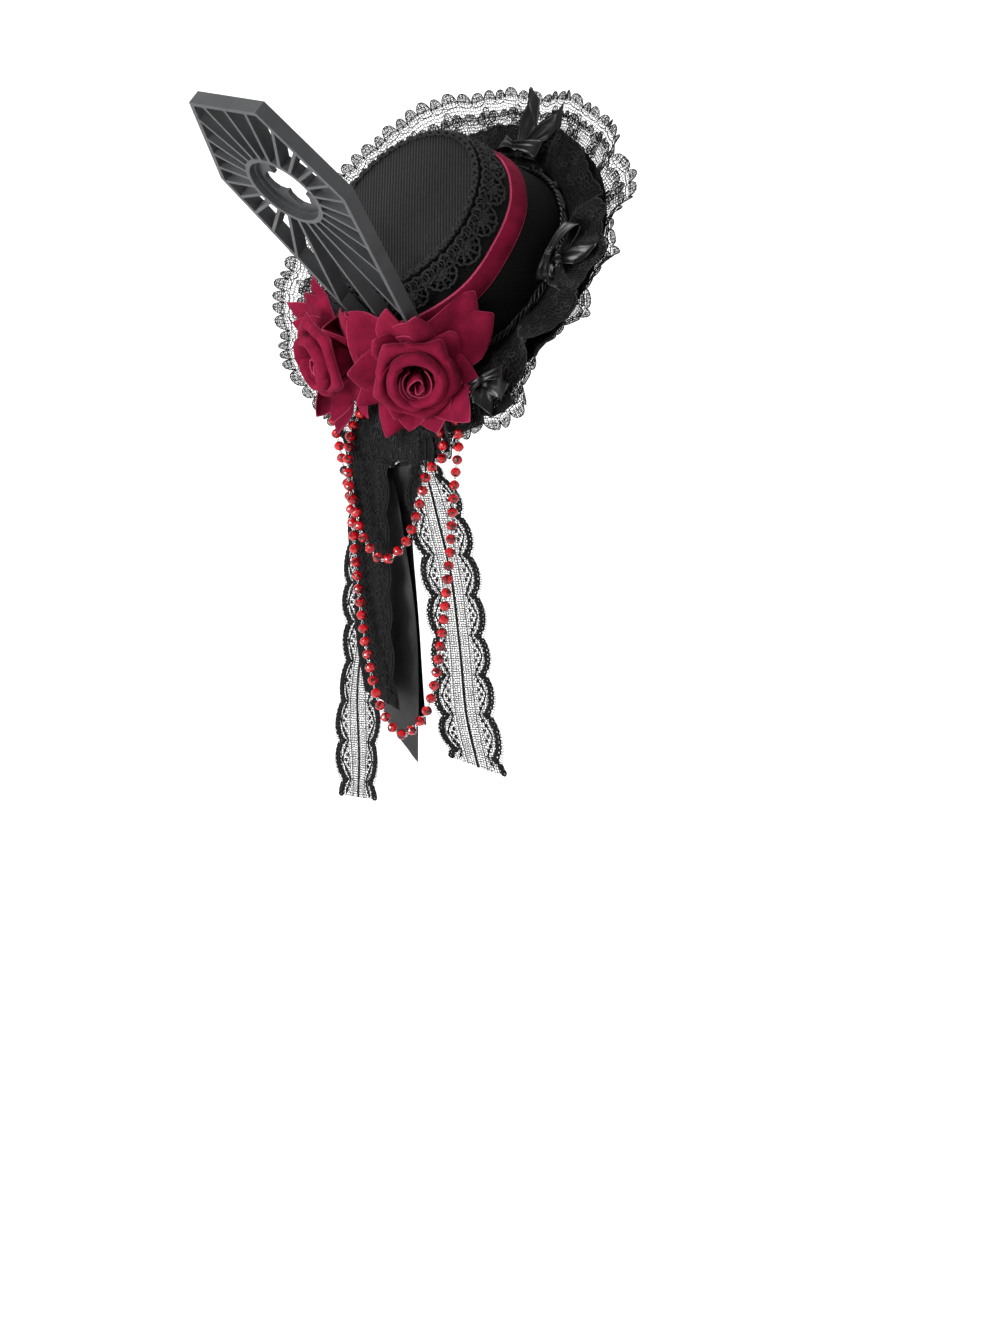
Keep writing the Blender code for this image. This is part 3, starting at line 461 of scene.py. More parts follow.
def cut_glass(name, deep, bright):
    """Pressed and polished glass beads: clear red, with painted dark and bright facets in place of
    the light they reflect.
    """
    made, tree, shader = new_material(name, bright, 0.04)
    place = add_node(tree, "ShaderNodeTexCoord").outputs["Object"]
    # each facet patch, about 1.3 mm, gets its own painted depth of the red, standing in for what
    # the facet reflects
    facets = add_node(tree, "ShaderNodeTexVoronoi", {"Vector": place, "Scale": 620})
    depth = add_node(tree, "ShaderNodeSeparateXYZ", {0: facets.outputs["Color"]})
    tree.links.new(two_colours(tree, depth.outputs[0], deep, bright, 0.3, 0.5),
                   shader.inputs["Base Color"])
    shader.inputs["IOR"].default_value = 1.55
    shader.inputs["Transmission Weight"].default_value = 0.25
    return made


def bare_metal(name, colour, roughness):
    """Drawn wire or pressed spring steel: smooth, with faint drawing lines."""
    made, tree, shader = new_material(name, colour, roughness)
    place = add_node(tree, "ShaderNodeTexCoord").outputs["Object"]
    wear = add_node(tree, "ShaderNodeTexNoise", {"Vector": place, "Scale": 800, "Detail": 2})
    bump = add_node(tree, "ShaderNodeBump", {"Height": wear.outputs[0], "Strength": 0.08,
                                             "Distance": 0.0002})
    tree.links.new(bump.outputs[0], shader.inputs["Normal"])
    shader.inputs["Metallic"].default_value = 1.0
    return made


FELT_CLOTH = wool_felt()
TWILL = ribbed_twill()
CROCHET = cotton_thread("crochet_trim", "#101011", "#3c3c3e")
LACE_CORD = cotton_thread("lace_cord", "#0e0e0f", "#262627")
NET = lace_net("black_lace", "#1c1c1d", 0.0016, 0.00036)
FAN_NET = lace_net("fan_net", "#2c2c2e", 0.0008, 0.00022)
TAIL_NET = lace_net("tail_net", "#1c1c1d", 0.0012, 0.00032)
DENSE_NET = lace_net("dense_net", "#0d0d0e", 0.0011, 0.00106)
RELIEF_CORD = cotton_thread("relief_cord", "#121213", "#2c2c2d")
FRILL_CORD = cotton_thread("frill_cord", "#161617", "#3c3c3e")
LACE_RIBBON = cotton_thread("lace_ribbon", "#0c0c0d", "#1c1c1d")
ROSE_VELVET = velvet("burgundy_velvet", "#520b20", "#7c1632", "#96344f")
BAND_VELVET = velvet("ribbon_velvet", "#440919", "#76122e", "#b84464")
# One black satin in two copies, painted lighter for the tail and darker for the bows and knots:
# painted light and shade.
SATIN_PAINTED_LIGHTER = satin("black_satin", "#1a1a1b", "#2a2a2b", 0.34)
SATIN_PAINTED_DARKER = satin("bow_satin_painted_darker", "#0a0a0b", "#151516", 0.3)
DARK_SATIN = satin("dark_satin", "#060607", "#0e0e0f", 0.5)
PLASTIC = moulded_plastic()
# The dark and bright reds given to each are painted facet reflections.
GLASS = cut_glass("red_crystal", "#5a050e", "#cf0f1a")
DARK_GLASS = cut_glass("dark_crystal", "#14060a", "#451019")
WIRE = bare_metal("silver_wire", "#c8c8c8", 0.25)
CLIP_METAL = bare_metal("black_metal", "#2a2a2c", 0.35)


def place_piece(piece, slot, *nodes):
    """A piece rides on the hat and stands for its nodes; slot is not used."""
    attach(piece, "root")
    if nodes:
        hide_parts(*nodes)
    return piece


# Felt hat

def dress_hat():
    inner = wall_radius(FELT) - FELT
    soft = 0.0006
    brim = turned_piece("felt_brim", ((inner, 0), (BRIM_RADIUS - soft, 0),
                                      (BRIM_RADIUS, soft), (BRIM_RADIUS, FELT - soft),
                                      (BRIM_RADIUS - soft, FELT), (inner, FELT)), FELT_CLOTH)
    place_piece(brim, "black_felt", "brim")
    foot = FELT + 0.0003
    rim = CROWN_HEIGHT - 0.0023
    wall = turned_piece("felt_wall", ((wall_radius(foot) - FELT, foot), (wall_radius(foot), foot),
                                      (wall_radius(rim), rim), (wall_radius(rim) - FELT, rim)),
                        FELT_CLOTH)
    place_piece(wall, "black_felt", "crown_wall")
    top = wall_radius(CROWN_HEIGHT)
    profile = [(0.0, CROWN_HEIGHT - 0.002), (top, CROWN_HEIGHT - 0.002)]
    profile += [(top - 0.0009 * (1 - cos(a)), CROWN_HEIGHT - 0.0009 + 0.0009 * sin(a))
                for a in (0, 0.5, 1.0, pi / 2)]
    profile += [(top * share, CROWN_HEIGHT + 0.0008 * (1 - share)) for share in (0.7, 0.35)]
    profile += [(0.0, CROWN_HEIGHT + 0.0008)]
    tip = turned_piece("ribbed_tip", profile, TWILL, closed=False)
    work = bmesh.new()
    work.from_mesh(tip.data)
    bmesh.ops.remove_doubles(work, verts=work.verts, dist=0.00001)
    work.to_mesh(tip.data)
    work.free()
    place_piece(tip, "ribbed_cloth", "crown_tip")


def dress_band():
    """Velvet ribbon with a raised pile between two satin selvedges."""
    low = BAND_LOW
    high = BAND_LOW + BAND_WIDTH
    sides = 180
    profile = ((0.0, 0.0003), (0.0, 0.0010), (0.06, 0.0013), (0.10, 0.0019), (0.5, 0.0023),
               (0.90, 0.0019), (0.94, 0.0013), (1.0, 0.0010), (1.0, 0.0003))
    verts = []
    uvs = []
    for n in range(sides):
        turn = 360 * n / sides
        sway = 0.0004 * sin(radians(3 * turn)) + 0.0003 * sin(radians(7 * turn + 40))
        for share, out in profile:
            height = low + (high - low) * share + sway
            verts.append(hat_vector(turn, wall_radius(height) + out, height))
            uvs.append((min(share, 1 - share) * BAND_WIDTH * 0.6, 0.0))
    count = len(profile)
    faces = []
    for n in range(sides):
        after = (n + 1) % sides
        faces += [(n * count + k, n * count + (k + 1) % count, after * count + (k + 1) % count,
                   after * count + k) for k in range(count)]
    place_piece(make_piece("velvet_ribbon", verts, faces, BAND_VELVET, uvs),
                "burgundy_velvet", "velvet_band")


def dress_crown_lace():
    """Crocheted trim: a knotted top edge, open rows of loops and scallops of arcs and spokes."""
    high = CROWN_HEIGHT - 0.0002
    top_row = 0.0016
    low_row = 0.0058
    knots = 48
    bold = []
    fine = []

    def place(turn, down, out=0.0012):
        height = high - down + random.uniform(-0.0004, 0.0004)
        return hat_vector(turn, wall_radius(max(height, 0)) + out + random.uniform(0, 0.0007),
                          height)

    def scallop_place(middle, reach, angle, out=0.0012):
        return place(middle + degrees(reach * cos(angle) / TRIM_RADIUS),
                     low_row + reach * sin(angle) * 1.12, out)

    for strand in range(2):
        edge = []
        for n in range(361):
            phase = radians(n * knots)
            edge.append(hat_vector(n, CROWN_TOP_RADIUS - 0.0004 + 0.0012 * sin(phase + strand * pi),
                                   CROWN_HEIGHT + 0.0008 + 0.0006 * cos(phase)))
        bold.append(edge)
    for level in (top_row, low_row):
        bold.append([place(n * 1.5, level + 0.0006 * sin(radians(n * 1.5 * 54)))
                     for n in range(241)])
    for n in range(90):
        turn = 4 * n
        bold.append([place(turn, top_row), place(turn + 1.7, 0.0030, 0.0018),
                     place(turn + 0.4, 0.0044, 0.0018), place(turn + 2, low_row)])
        fine.append([place(turn + 2.6, top_row), place(turn + 3.4, 0.0037, 0.0018),
                     place(turn + 2.0, low_row)])
    for lobe in range(TRIM_SCALLOPS):
        middle = (lobe + 0.5) * 360 / TRIM_SCALLOPS + random.uniform(-0.8, 0.8)
        for radius, picot in ((0.0036, 0.0), (0.0076, 0.0007)):
            bold.append([scallop_place(middle, radius + picot * abs(sin(angle * 8)), angle, 0.0016)
                         for angle in [pi * n / 24 for n in range(25)]])
        for spoke in range(6):
            angle = pi * (spoke + 0.5) / 6
            bold.append([scallop_place(middle, reach, angle, 0.0012 + 0.0006 * (n % 2))
                         for n, reach in enumerate((0.0008, 0.0026, 0.0044, 0.0060, 0.0074))])
        fine.append([scallop_place(middle, 0.0056, angle)
                     for angle in [pi * n / 12 for n in range(13)]])
    trim = thread_piece("crochet_trim", bold, 0.00072, CROCHET, 5)
    place_piece(trim, "crochet_trim", "crown_lace")
    place_piece(thread_piece("crochet_fine", fine, 0.00036, CROCHET, 4), "crochet_trim")


def dress_gathering():
    """Narrow ribbon knotted at each gather at the foot of the crown."""
    lines = []
    for strand in range(4):
        line = []
        for n in range(721):
            turn = n / 2
            phase = radians(turn * 26) + strand * pi / 2
            pinch = 0.55 + 0.45 * abs(sin(radians(turn * 13)))
            height = FELT + 0.0034 + 0.0016 * pinch * sin(phase)
            out = 0.0018 + 0.0009 * pinch * cos(phase)
            line.append(hat_vector(turn, wall_radius(height) + out, height))
        lines.append(line)
    for knot in range(26):
        turn = knot * 360 / 26 + random.uniform(-2, 6)
        size = random.uniform(0.0013, 0.0020)
        centre = hat_vector(turn, wall_radius(0.006) + 0.0026, 0.0058)
        out = hat_vector(turn, 1, 0)
        side = hat_vector(turn + 90, 1, 0)
        axis = hat_vector(0, 0, 1)
        for heading in (-0.6, 0.5):
            lines.append([centre + (side * cos(a) + axis * sin(a)) * size
                          + out * (0.0014 * sin(a + heading)) for a in
                          [2 * pi * n / 8 for n in range(9)]])
    trim = thread_piece("gathering_knots", lines, 0.00062, SATIN_PAINTED_DARKER, 5)
    place_piece(trim, "black_satin", "gathering_ribbon")


# Lace ruffle

RUFFLE_CLOTH = 0.70             # length of the lace before it was gathered
RUFFLE_WIDTH = 0.0450
FANS = 88
FAN_PITCH = RUFFLE_CLOTH / FANS
FAN_HEIGHT = FAN_PITCH * 0.62
FAN_FOOT = RUFFLE_WIDTH - FAN_HEIGHT
FRILL_CLOTH = 0.90
FRILL_WIDTH = 0.0400
FLUTES = (
    # turn, how far the edge swings out there, how far it lifts, and half width of the swing
    (244, 0.0010, 0.0040, 6),
    (258, 0.0050, -0.0040, 6),
    (273, 0.0070, -0.0020, 6),
    (286, -0.0040, 0.0050, 5),
    (299, 0.0040, -0.0050, 7),
    (308, -0.0020, 0.0040, 4),
    (318, 0.0020, 0.0030, 9),
    (222, 0.0030, -0.0030, 6),
    (207, -0.0010, 0.0030, 6),
)


def window(turn, low, high, soft):
    """1 between two turns, falling to 0 over the soft turns outside them."""
    outside = max(low - turn, turn - high, 0.0)
    return max(0.0, 1 - outside / soft) ** 2 * (3 - 2 * max(0.0, 1 - outside / soft))


def flute(turn, share):
    """Swing and lift of the loose edge on the side towards the wearer's ear."""
    swing = 0.0
    lift = 0.0
    for middle, far, high, half in FLUTES:
        near = exp(-((turn - middle) / half) ** 2) * share * share
        swing += far * near
        lift += high * near
    return swing, lift


def gathers(turn, share):
    """Small folds between the large ones; they open towards the free edge."""
    size = 0.0006 + (0.0010 + 0.0012 * window(turn, 200, 330, 20)) * share ** 1.5
    return -size * (0.5 + 0.5 * sin(radians(turn * 37) + 0.9 * sin(radians(turn * 5))))


def ruffle_surface(along, across):
    """Point of the ruffle from its place on the flat lace: along its seam, across to its edge."""
    share = min(max(across / RUFFLE_WIDTH, 0.0), 1.04)
    turn = 360 * along / RUFFLE_CLOTH % 360
    swing, lift = flute(turn, share)
    radius = RUFFLE_INNER + (ruffle_row(turn)[0] - RUFFLE_INNER) * share
    height = ruffle_height(turn, radius) + gathers(turn, share) + lift
    sway = 0.35 * share * sin(radians(turn * 37) + 1.3)
    return hat_vector(turn + sway, radius + swing, height)


def under_surface(along, across):
    """The second tier of lace, a little shorter, below the first."""
    share = min(max(across / RUFFLE_WIDTH, 0.0), 1.04) * 0.80
    turn = 360 * along / RUFFLE_CLOTH % 360
    radius = RUFFLE_INNER + (ruffle_row(turn)[0] - RUFFLE_INNER) * share
    swing, lift = flute(turn, share)
    height = ruffle_height(turn, radius) + gathers(turn, share) - 0.0024 * share
    return hat_vector(turn, radius + swing, height + lift)


def frill_reach(turn):
    """How far the dense frill reaches out: to the brim's edge, and past it near the ear."""
    reach = ruffle_row(turn)[0]
    past = max(0.72 * window(turn, 188, 286, 10), 0.97 * window(turn, 166, 212, 8))
    return BRIM_RADIUS + 0.0006 + (reach - BRIM_RADIUS - 0.0006) * past


def frill_surface(along, across):
    """The dense frill that lies on the brim in deep uneven folds."""
    share = min(max(across / FRILL_WIDTH, 0.0), 1.04)
    turn = 360 * along / FRILL_CLOTH % 360
    deep = 0.0022 + 0.0050 * window(turn, 200, 328, 20)
    for middle in (354, 272, 219):
        deep *= 1 - 0.75 * exp(-((turn - middle) / 11) ** 2)
    bend = turn + 7 * share * sin(radians(turn * 3 + 40))
    wave = 0.5 + 0.5 * sin(radians(bend * 21) + 1.6 * sin(radians(bend * 5 + 20)))
    fine = 0.5 + 0.5 * sin(radians(bend * 71) + 1.2 * sin(radians(bend * 7)))
    crown = min(1.0, 0.25 + 1.6 * share)
    radius = RUFFLE_INNER + 0.0004 + (frill_reach(turn) - RUFFLE_INNER - 0.0004) * share
    swing, lift = flute(turn, share)
    fold = crown * (deep * wave ** 1.4 + 0.0007 * fine)
    height = ruffle_height(turn, min(radius, ruffle_row(turn)[0])) + 0.0012 + fold
    height += lift * (radius / ruffle_row(turn)[0]) ** 2
    sway = 1.8 * share * cos(radians(bend * 21) + 1.6 * sin(radians(bend * 5 + 20)))
    return hat_vector(turn + sway, radius + swing * 0.8, height)


def ruffle_sheet(name, surface, columns_a_fan, finish):
    """Net cut to half-round fans along its free edge."""
    verts = []
    uvs = []
    rows = 14
    columns = FANS * columns_a_fan
    for r in range(rows):
        for c in range(columns):
            along = RUFFLE_CLOTH * c / columns
            place = 2 * ((c % columns_a_fan) / columns_a_fan) - 1
            arc = FAN_FOOT + FAN_HEIGHT * max(0.0, 1 - place * place) ** 0.5 + 0.0004
            if r < 10:
                across = FAN_FOOT * r / 9
            else:
                across = FAN_FOOT + (arc - FAN_FOOT) * (r - 9) / 4
            verts.append(surface(along, across))
            uvs.append((along, across))
    return make_piece(name, verts, grid_faces(rows, columns, True), finish, uvs)


def fan_lines():
    """Cords of the fans along the edge and of the motifs between them, on the flat lace."""
    bold = []
    fine = []
    motifs = []
    for fan in range(FANS):
        middle = (fan + 0.5) * FAN_PITCH
        bold.append([(middle + FAN_PITCH * 0.49 * cos(a), FAN_FOOT + FAN_HEIGHT * sin(a))
                     for a in [pi * n / 12 for n in range(13)]])
        fine.append([(middle + FAN_PITCH * 0.42 * cos(a), FAN_FOOT + FAN_PITCH * 0.52 * sin(a))
                     for a in [pi * n / 10 for n in range(11)]])
        for spoke in range(11):
            angle = pi * (spoke + 0.5) / 11
            fine.append([(middle + FAN_PITCH * reach * 0.46 * cos(angle),
                          FAN_FOOT + FAN_PITCH * reach * 0.58 * sin(angle))
                         for reach in (0.12, 0.55, 1.0)])
        if fan % 3 == 0:
            lines = flower((fan + 1) * FAN_PITCH, RUFFLE_WIDTH - 0.0150, 0.0072)
            bold += lines
            motifs += lines
        elif fan % 3 == 1:
            lines = leaf(middle + FAN_PITCH / 2, RUFFLE_WIDTH - 0.0265, 0.0068)
            bold += lines
            motifs += lines[:2]
    bold.append([(FAN_PITCH * n / 10, FAN_FOOT - 0.0008 - 0.0012 * abs(sin(pi * n / 10)))
                 for n in range(10 * FANS + 1)])
    bold.append([(FAN_PITCH * n / 4, FAN_FOOT - 0.0215 + 0.0022 * sin(pi * n / 6))
                 for n in range(4 * FANS + 1)])
    return bold, fine, motifs


def motif_fill(name, surface, outlines, finish):
    """Closed net inside each outline."""
    verts = []
    uvs = []
    faces = []
    for outline in outlines:
        first = len(verts)
        ring = outline[:-1]
        middle = (sum(u for u, v in ring) / len(ring), sum(v for u, v in ring) / len(ring))
        verts += on_cloth(surface, [middle] + ring, 0.00012)
        uvs += [middle] + ring
        faces += [(first, first + 1 + k, first + 1 + (k + 1) % len(ring))
                  for k in range(len(ring))]
    return make_piece(name, verts, faces, finish, uvs)


def dress_ruffle():
    tiers = (("lace_ruffle", ruffle_surface, 0.00027, (RUFFLE_WIDTH, RUFFLE_CLOTH)),
             ("lace_under_tier", under_surface, 0.00024, (0.0320, 0.58)))
    for name, surface, radius, flat in tiers:
        base = ruffle_sheet(name, surface, 10, NET)
        bold, fine, motifs = fan_lines()
        fills = [((fan + 0.5) * FAN_PITCH, FAN_FOOT, FAN_PITCH * 0.49) for fan in range(FANS)]
        cords = thread_piece(name + "_cords", [on_cloth(surface, line, 0.0002) for line in bold],
                             radius, LACE_CORD, 3)
        rays = thread_piece(name + "_rays", [on_cloth(surface, line, 0.0002) for line in fine],
                            0.00010, LACE_CORD, 3)
        fans = fan_fill(name + "_fans", surface, fills)
        filled = motif_fill(name + "_motifs", surface, motifs, FAN_NET)
        nodes = ("brim_ruffle",) if name == "lace_ruffle" else ()
        place_piece(base, "black_lace", *nodes)
        for piece in (cords, rays, fans, filled):
            place_piece(piece, "black_lace")
    dress_frill()


def dress_frill():
    """Dense lace gathered over the brim, with its pattern worked in thick cord."""
    columns = 900
    rows = 14
    verts = []
    uvs = []
    for r in range(rows):
        for c in range(columns):
            along = FRILL_CLOTH * c / columns
            across = FRILL_WIDTH * r / (rows - 1)
            verts.append(frill_surface(along, across))
            uvs.append((along, across))
    base = make_piece("lace_frill", verts, grid_faces(rows, columns, True), DENSE_NET, uvs)
    place_piece(base, "black_lace")
    bold = []
    fine = []
    for n in range(120):
        along = FRILL_CLOTH * (n + 0.5) / 120
        if n % 3 == 0:
            bold += flower(along, 0.0285, 0.0070)
        elif n % 3 == 1:
            bold += leaf(along, 0.0150, 0.0065)
        bold.append([(along + 0.0036 * cos(a), FRILL_WIDTH - 0.0030 + 0.0030 * sin(a))
                     for a in [pi * k / 8 for k in range(9)]])
    for level in (0.0060, 0.0115, 0.0170, 0.0225, 0.0280, 0.0340):
        fine.append([(FRILL_CLOTH * n / 900, level + 0.0010 * sin(2 * pi * n / 12))
                     for n in range(901)])
    for n in range(360):
        along = FRILL_CLOTH * n / 360
        fine.append([(along, FRILL_WIDTH * k / 10) for k in range(1, 10)])
    cords = thread_piece("frill_cords", [on_cloth(frill_surface, line, 0.00025) for line in bold],
                         0.00038, FRILL_CORD, 3)
    threads = thread_piece("frill_threads", [on_cloth(frill_surface, line, 0.0002)
                                             for line in fine], 0.00017, FRILL_CORD, 3)
    for piece in (cords, threads):
        place_piece(piece, "black_lace")


def flower(u, v, size):
    """Lines of a five-petalled lace motif on the flat cloth."""
    lines = []
    for petal in range(5):
        angle = 2 * pi * petal / 5 + pi / 10
        heart = (u + 0.18 * size * cos(angle), v + 0.18 * size * sin(angle))
        line = []
        for n in range(11):
            a = 2 * pi * n / 10
            reach = size * (0.42 + 0.40 * (-cos(a)))
            wide = size * 0.30 * sin(a)
            line.append((heart[0] + reach * cos(angle) - wide * sin(angle),
                         heart[1] + reach * sin(angle) + wide * cos(angle)))
        lines.append(line)
    return lines


def leaf(u, v, size):
    """Lines of a stem with two leaves on the flat cloth."""
    lines = []
    for way in (-1, 1):
        line = []
        for n in range(11):
            a = 2 * pi * n / 10
            reach = size * (0.5 - 0.5 * cos(a))
            wide = size * 0.28 * sin(a)
            angle = pi / 2 + way * 0.95
            line.append((u + reach * cos(angle) - wide * sin(angle),
                         v + reach * sin(angle) + wide * cos(angle)))
        lines.append(line)
    lines.append([(u, v - size * 0.9), (u + size * 0.1, v - size * 0.3), (u, v + size * 0.3)])
    return lines


def fan_fill(name, surface, fills):
    """Denser net inside each fan."""
    verts = []
    uvs = []
    faces = []
    for u, v, radius in fills:
        first = len(verts)
        for reach in (0.10, 0.6, 1.0):
            line = [(u + radius * reach * cos(pi * n / 10), v + radius * 1.24 * reach
                     * sin(pi * n / 10)) for n in range(11)]
            verts += on_cloth(surface, line, 0.0001)
            uvs += line
        faces += grid_faces(3, 11, first=first)
    return make_piece(name, verts, faces, FAN_NET, uvs)


# Roses

PLATE_TURN = 174.0
PLATE_LEAN = 9.1
PLATE_ROLL = 3.6
PLATE_SIDE_SHIFT = 0.0190
PLATE_THICKNESS = 0.0072
PLATE_FOOT_HEIGHT = 0.0340
PLATE_FOOT_LENGTH = 0.1090
PLATE_FOOT_WIDTH = 0.0340
PLATE_SHOULDER_WIDTH = 0.0860


def plate_axes():
    """The plate's origin on its back face, and its width, length and outward directions."""
    radial = hat_vector(PLATE_TURN, 1, 0)
    tangent = hat_vector(PLATE_TURN + 90, 1, 0)
    axis = hat_vector(0, 0, 1)
    lean = radians(PLATE_LEAN)
    roll = radians(PLATE_ROLL)
    outward = radial * cos(lean) + axis * sin(lean)
    slope = axis * cos(lean) - radial * sin(lean)
    length = slope * cos(roll) + tangent * sin(roll)
    width = length.cross(outward)
    seat = wall_radius(PLATE_FOOT_HEIGHT) + 0.0018
    foot = hat_vector(PLATE_TURN, seat, PLATE_FOOT_HEIGHT)
    return foot + width * PLATE_SIDE_SHIFT, width, length, outward


PLATE = plate_axes()


def eased(distance, limit, soft):
    """Distance kept above a limit, squeezed smoothly next to it."""
    if distance >= limit + soft:
        return distance
    return limit + soft * exp((distance - limit - soft) / soft)


def clear_of_hat(point, lift=0.0):
    """A petal's point moved clear of the plate, the crown and the ruffle."""
    origin, width, length, outward = PLATE
    local = point - origin
    depth = local.dot(outward)
    y = local.dot(length)
    share = min(max(y, 0), PLATE_FOOT_LENGTH) / PLATE_FOOT_LENGTH
    half = (PLATE_FOOT_WIDTH + (PLATE_SHOULDER_WIDTH - PLATE_FOOT_WIDTH) * share) / 2
    outside = max(abs(local.dot(width)) - half, -y)
    fade = min(max((0.010 - outside) / 0.008, 0), 1)
    limit = PLATE_THICKNESS + 0.0010 + lift
    point = point + outward * ((eased(depth, limit, 0.003) - depth) * fade)
    turn, radius, height = hat_place(point)
    crown = wall_radius(min(max(height, 0), CROWN_HEIGHT)) + 0.0030 + lift
    if height < CROWN_HEIGHT + 0.004:
        radius = eased(radius, crown, 0.003)
    reach = ruffle_row(turn)[0]
    short = 0.0
    if radius < reach + 0.004:
        short = eased(height, ruffle_height(turn, min(radius, reach)) + 0.0062 + lift, 0.003)
        short -= height
    return hat_vector(turn, radius, height) - VIEW_FORWARD * (short / 0.593)


def rose_axes(axis):
    """Across, up and out directions of a rose that faces along an axis."""
    out = view_vector(*axis).normalized()
    across = UP.cross(out).normalized()
    if across.dot(VIEW_RIGHT) < 0:
        across = -across
    up = out.cross(across)
    if up.z < 0:
        up = -up
    return across, up, out


def pointed_petal(base, axes, tip, level, width, belly, curl, root, roll=0.0):
    """Grid of points of an outer petal.

    tip is where its point shows, right and up of the rose's base as the viewer sees it, and
    level is the point's height out of the rose.
    """
    across, up, out = axes
    # place of the tip in the rose's own plane, for its level
    ar, au = across.dot(VIEW_RIGHT), across.dot(UP)
    br, bu = up.dot(VIEW_RIGHT), up.dot(UP)
    right = tip[0] - level * out.dot(VIEW_RIGHT)
    rise = tip[1] - level * out.dot(UP)
    spread = ar * bu - au * br
    x = (right * bu - rise * br) / spread
    y = (ar * rise - au * right) / spread
    length = hypot(x, y)
    ahead = (across * x + up * y) / length
    side = out.cross(ahead)
    rows = []
    for n in range(17):
        t = n / 16
        reach = root + (length - root) * t
        lift = 4 * belly * t * (1 - t) * (1 - 0.35 * t) + level * t * t
        if t < 0.6:
            half = width * (0.34 + 0.66 * sin(pi / 2 * t / 0.6))
        else:
            half = width * (1 - 0.97 * ((t - 0.6) / 0.4) ** 1.35)
        row = []
        for k in range(17):
            s = k / 8 - 1
            bend = abs(s) ** 2.2
            inward = (half * s) ** 2 / (2 * max(reach, 0.012)) * (1 - t) ** 0.5
            point = base + ahead * (reach - inward) + side * (half * s)
            rolled = curl * half * bend * t * (1.15 - 0.3 * t)
            rolled += roll * half * max(0.0, abs(s) - 0.62) * 2.2 * min(1.0, 2 * t)
            lateral = roll * half * max(0.0, abs(s) - 0.62) * 0.55 * min(1.0, 2 * t)
            point += out * (lift - rolled) - side * (lateral if s > 0 else -lateral)
            tipping = max(0.0, t - 0.82) / 0.18
            point -= out * (0.0022 * tipping * tipping * (1 if curl > 0 else -1))
            row.append((point, min((1 - abs(s)) * half, (1 - t) * length * 0.8)))
        rows.append(row)
    return rows


def cup_petal(base, axes, start, span, profile, twist, point=0.0, shift=(0.0, 0.0)):
    """Grid of points of an inner petal that wraps round the heart and turns its lip out.

    point draws the middle of the lip out to a soft point; shift moves the lip across the rose.
    """
    across, up, out = axes
    rows = []
    for n, (radius, level) in enumerate(profile):
        row = []
        share = n / (len(profile) - 1)
        for k in range(33):
            s = k / 32
            edge = abs(2 * s - 1)
            fall = max(0.0, edge - 0.6) / 0.4
            angle = radians(start + span * s)
            tip = point * max(0.0, 1 - edge / 0.55) ** 1.5 * max(0.0, share - 0.55) / 0.45
            wide = radius * (1 + twist * (s - 0.5)) + 0.0004 * sin(3 * angle + start) + tip
            height = level * (1 - 0.14 * fall * fall * share) - 0.25 * tip
            wide *= 1 - 0.12 * fall * fall * share
            middle = base + across * (shift[0] * share) + up * (shift[1] * share)
            place = middle + (across * cos(angle) + up * sin(angle)) * wide + out * height
            row.append((place, (1 - share) * 0.012))
        rows.append(row)
    return rows


def petals_piece(name, grids, finish):
    """Petal grids in one mesh, each a thin closed sheet."""
    verts = []
    uvs = []
    faces = []
    for rows, lift in grids:
        first = len(verts)
        for row in rows:
            verts += [clear_of_hat(point, lift) for point, _ in row]
            uvs += [(max(border, 0.0), 0.0) for _, border in row]
        faces += grid_faces(len(rows), len(rows[0]), first=first)
    piece = make_piece(name, verts, faces, finish, uvs)
    thicken(piece, 0.0006)
    return piece


CUP_HEART = ((0.0008, 0.006), (0.0014, 0.014), (0.0018, 0.0190), (0.0022, 0.0214))
CUP_FOLD = ((0.0020, 0.004), (0.0032, 0.012), (0.0040, 0.0180), (0.0038, 0.0206))
CUP_BUD = ((0.0030, 0.002), (0.0052, 0.010), (0.0064, 0.0165), (0.0068, 0.0196))
CUP_NEST = ((0.0036, 0.000), (0.0066, 0.009), (0.0080, 0.0160), (0.0086, 0.0196), (0.0094, 0.0206))
CUP_EYE = ((0.0040, 0.000), (0.0076, 0.008), (0.0090, 0.0165), (0.0097, 0.0210),
           (0.0108, 0.0232), (0.0122, 0.0230), (0.0134, 0.0208), (0.0139, 0.0176))
CUP_OUTER = ((0.0060, 0.000), (0.0110, 0.0060), (0.0138, 0.0125), (0.0152, 0.0170),
             (0.0164, 0.0188), (0.0176, 0.0180), (0.0186, 0.0152))


def rose_heart(base, axes, turned):
    """The wrapped petals in the rose's middle, the same in both roses but turned."""
    grids = []
    for middle, point in ((58, 0.0050), (132, 0.0040), (205, 0.0030), (285, 0.0034), (350, 0.0036)):
        grids.append((cup_petal(base, axes, middle - 56 + turned, 112, CUP_OUTER, 0.10, point),
                      0.002))
    for middle, point in ((85, 0.0016), (210, 0.0012), (325, 0.0016)):
        grids.append((cup_petal(base, axes, middle - 78 + turned, 156, CUP_EYE, 0.12, point),
                      0.002))
    grids.append((cup_petal(base, axes, 158 + turned, 225, CUP_NEST, 0.10, 0.0,
                            (0.0004, -0.0006)), 0.002))
    grids.append((cup_petal(base, axes, 205 + turned, 215, CUP_BUD, 0.20, 0.0,
                            (0.0006, -0.0014)), 0.002))
    grids.append((cup_petal(base, axes, 120 + turned, 200, CUP_BUD, -0.24, 0.0,
                            (0.0006, -0.0022)), 0.002))
    grids.append((cup_petal(base, axes, 10 + turned, 230, CUP_FOLD, 0.40, 0.0,
                            (0.0008, -0.0024)), 0.002))
    grids.append((cup_petal(base, axes, 170 + turned, 220, CUP_HEART, 0.60, 0.0,
                            (0.0010, -0.0030)), 0.002))
    return grids


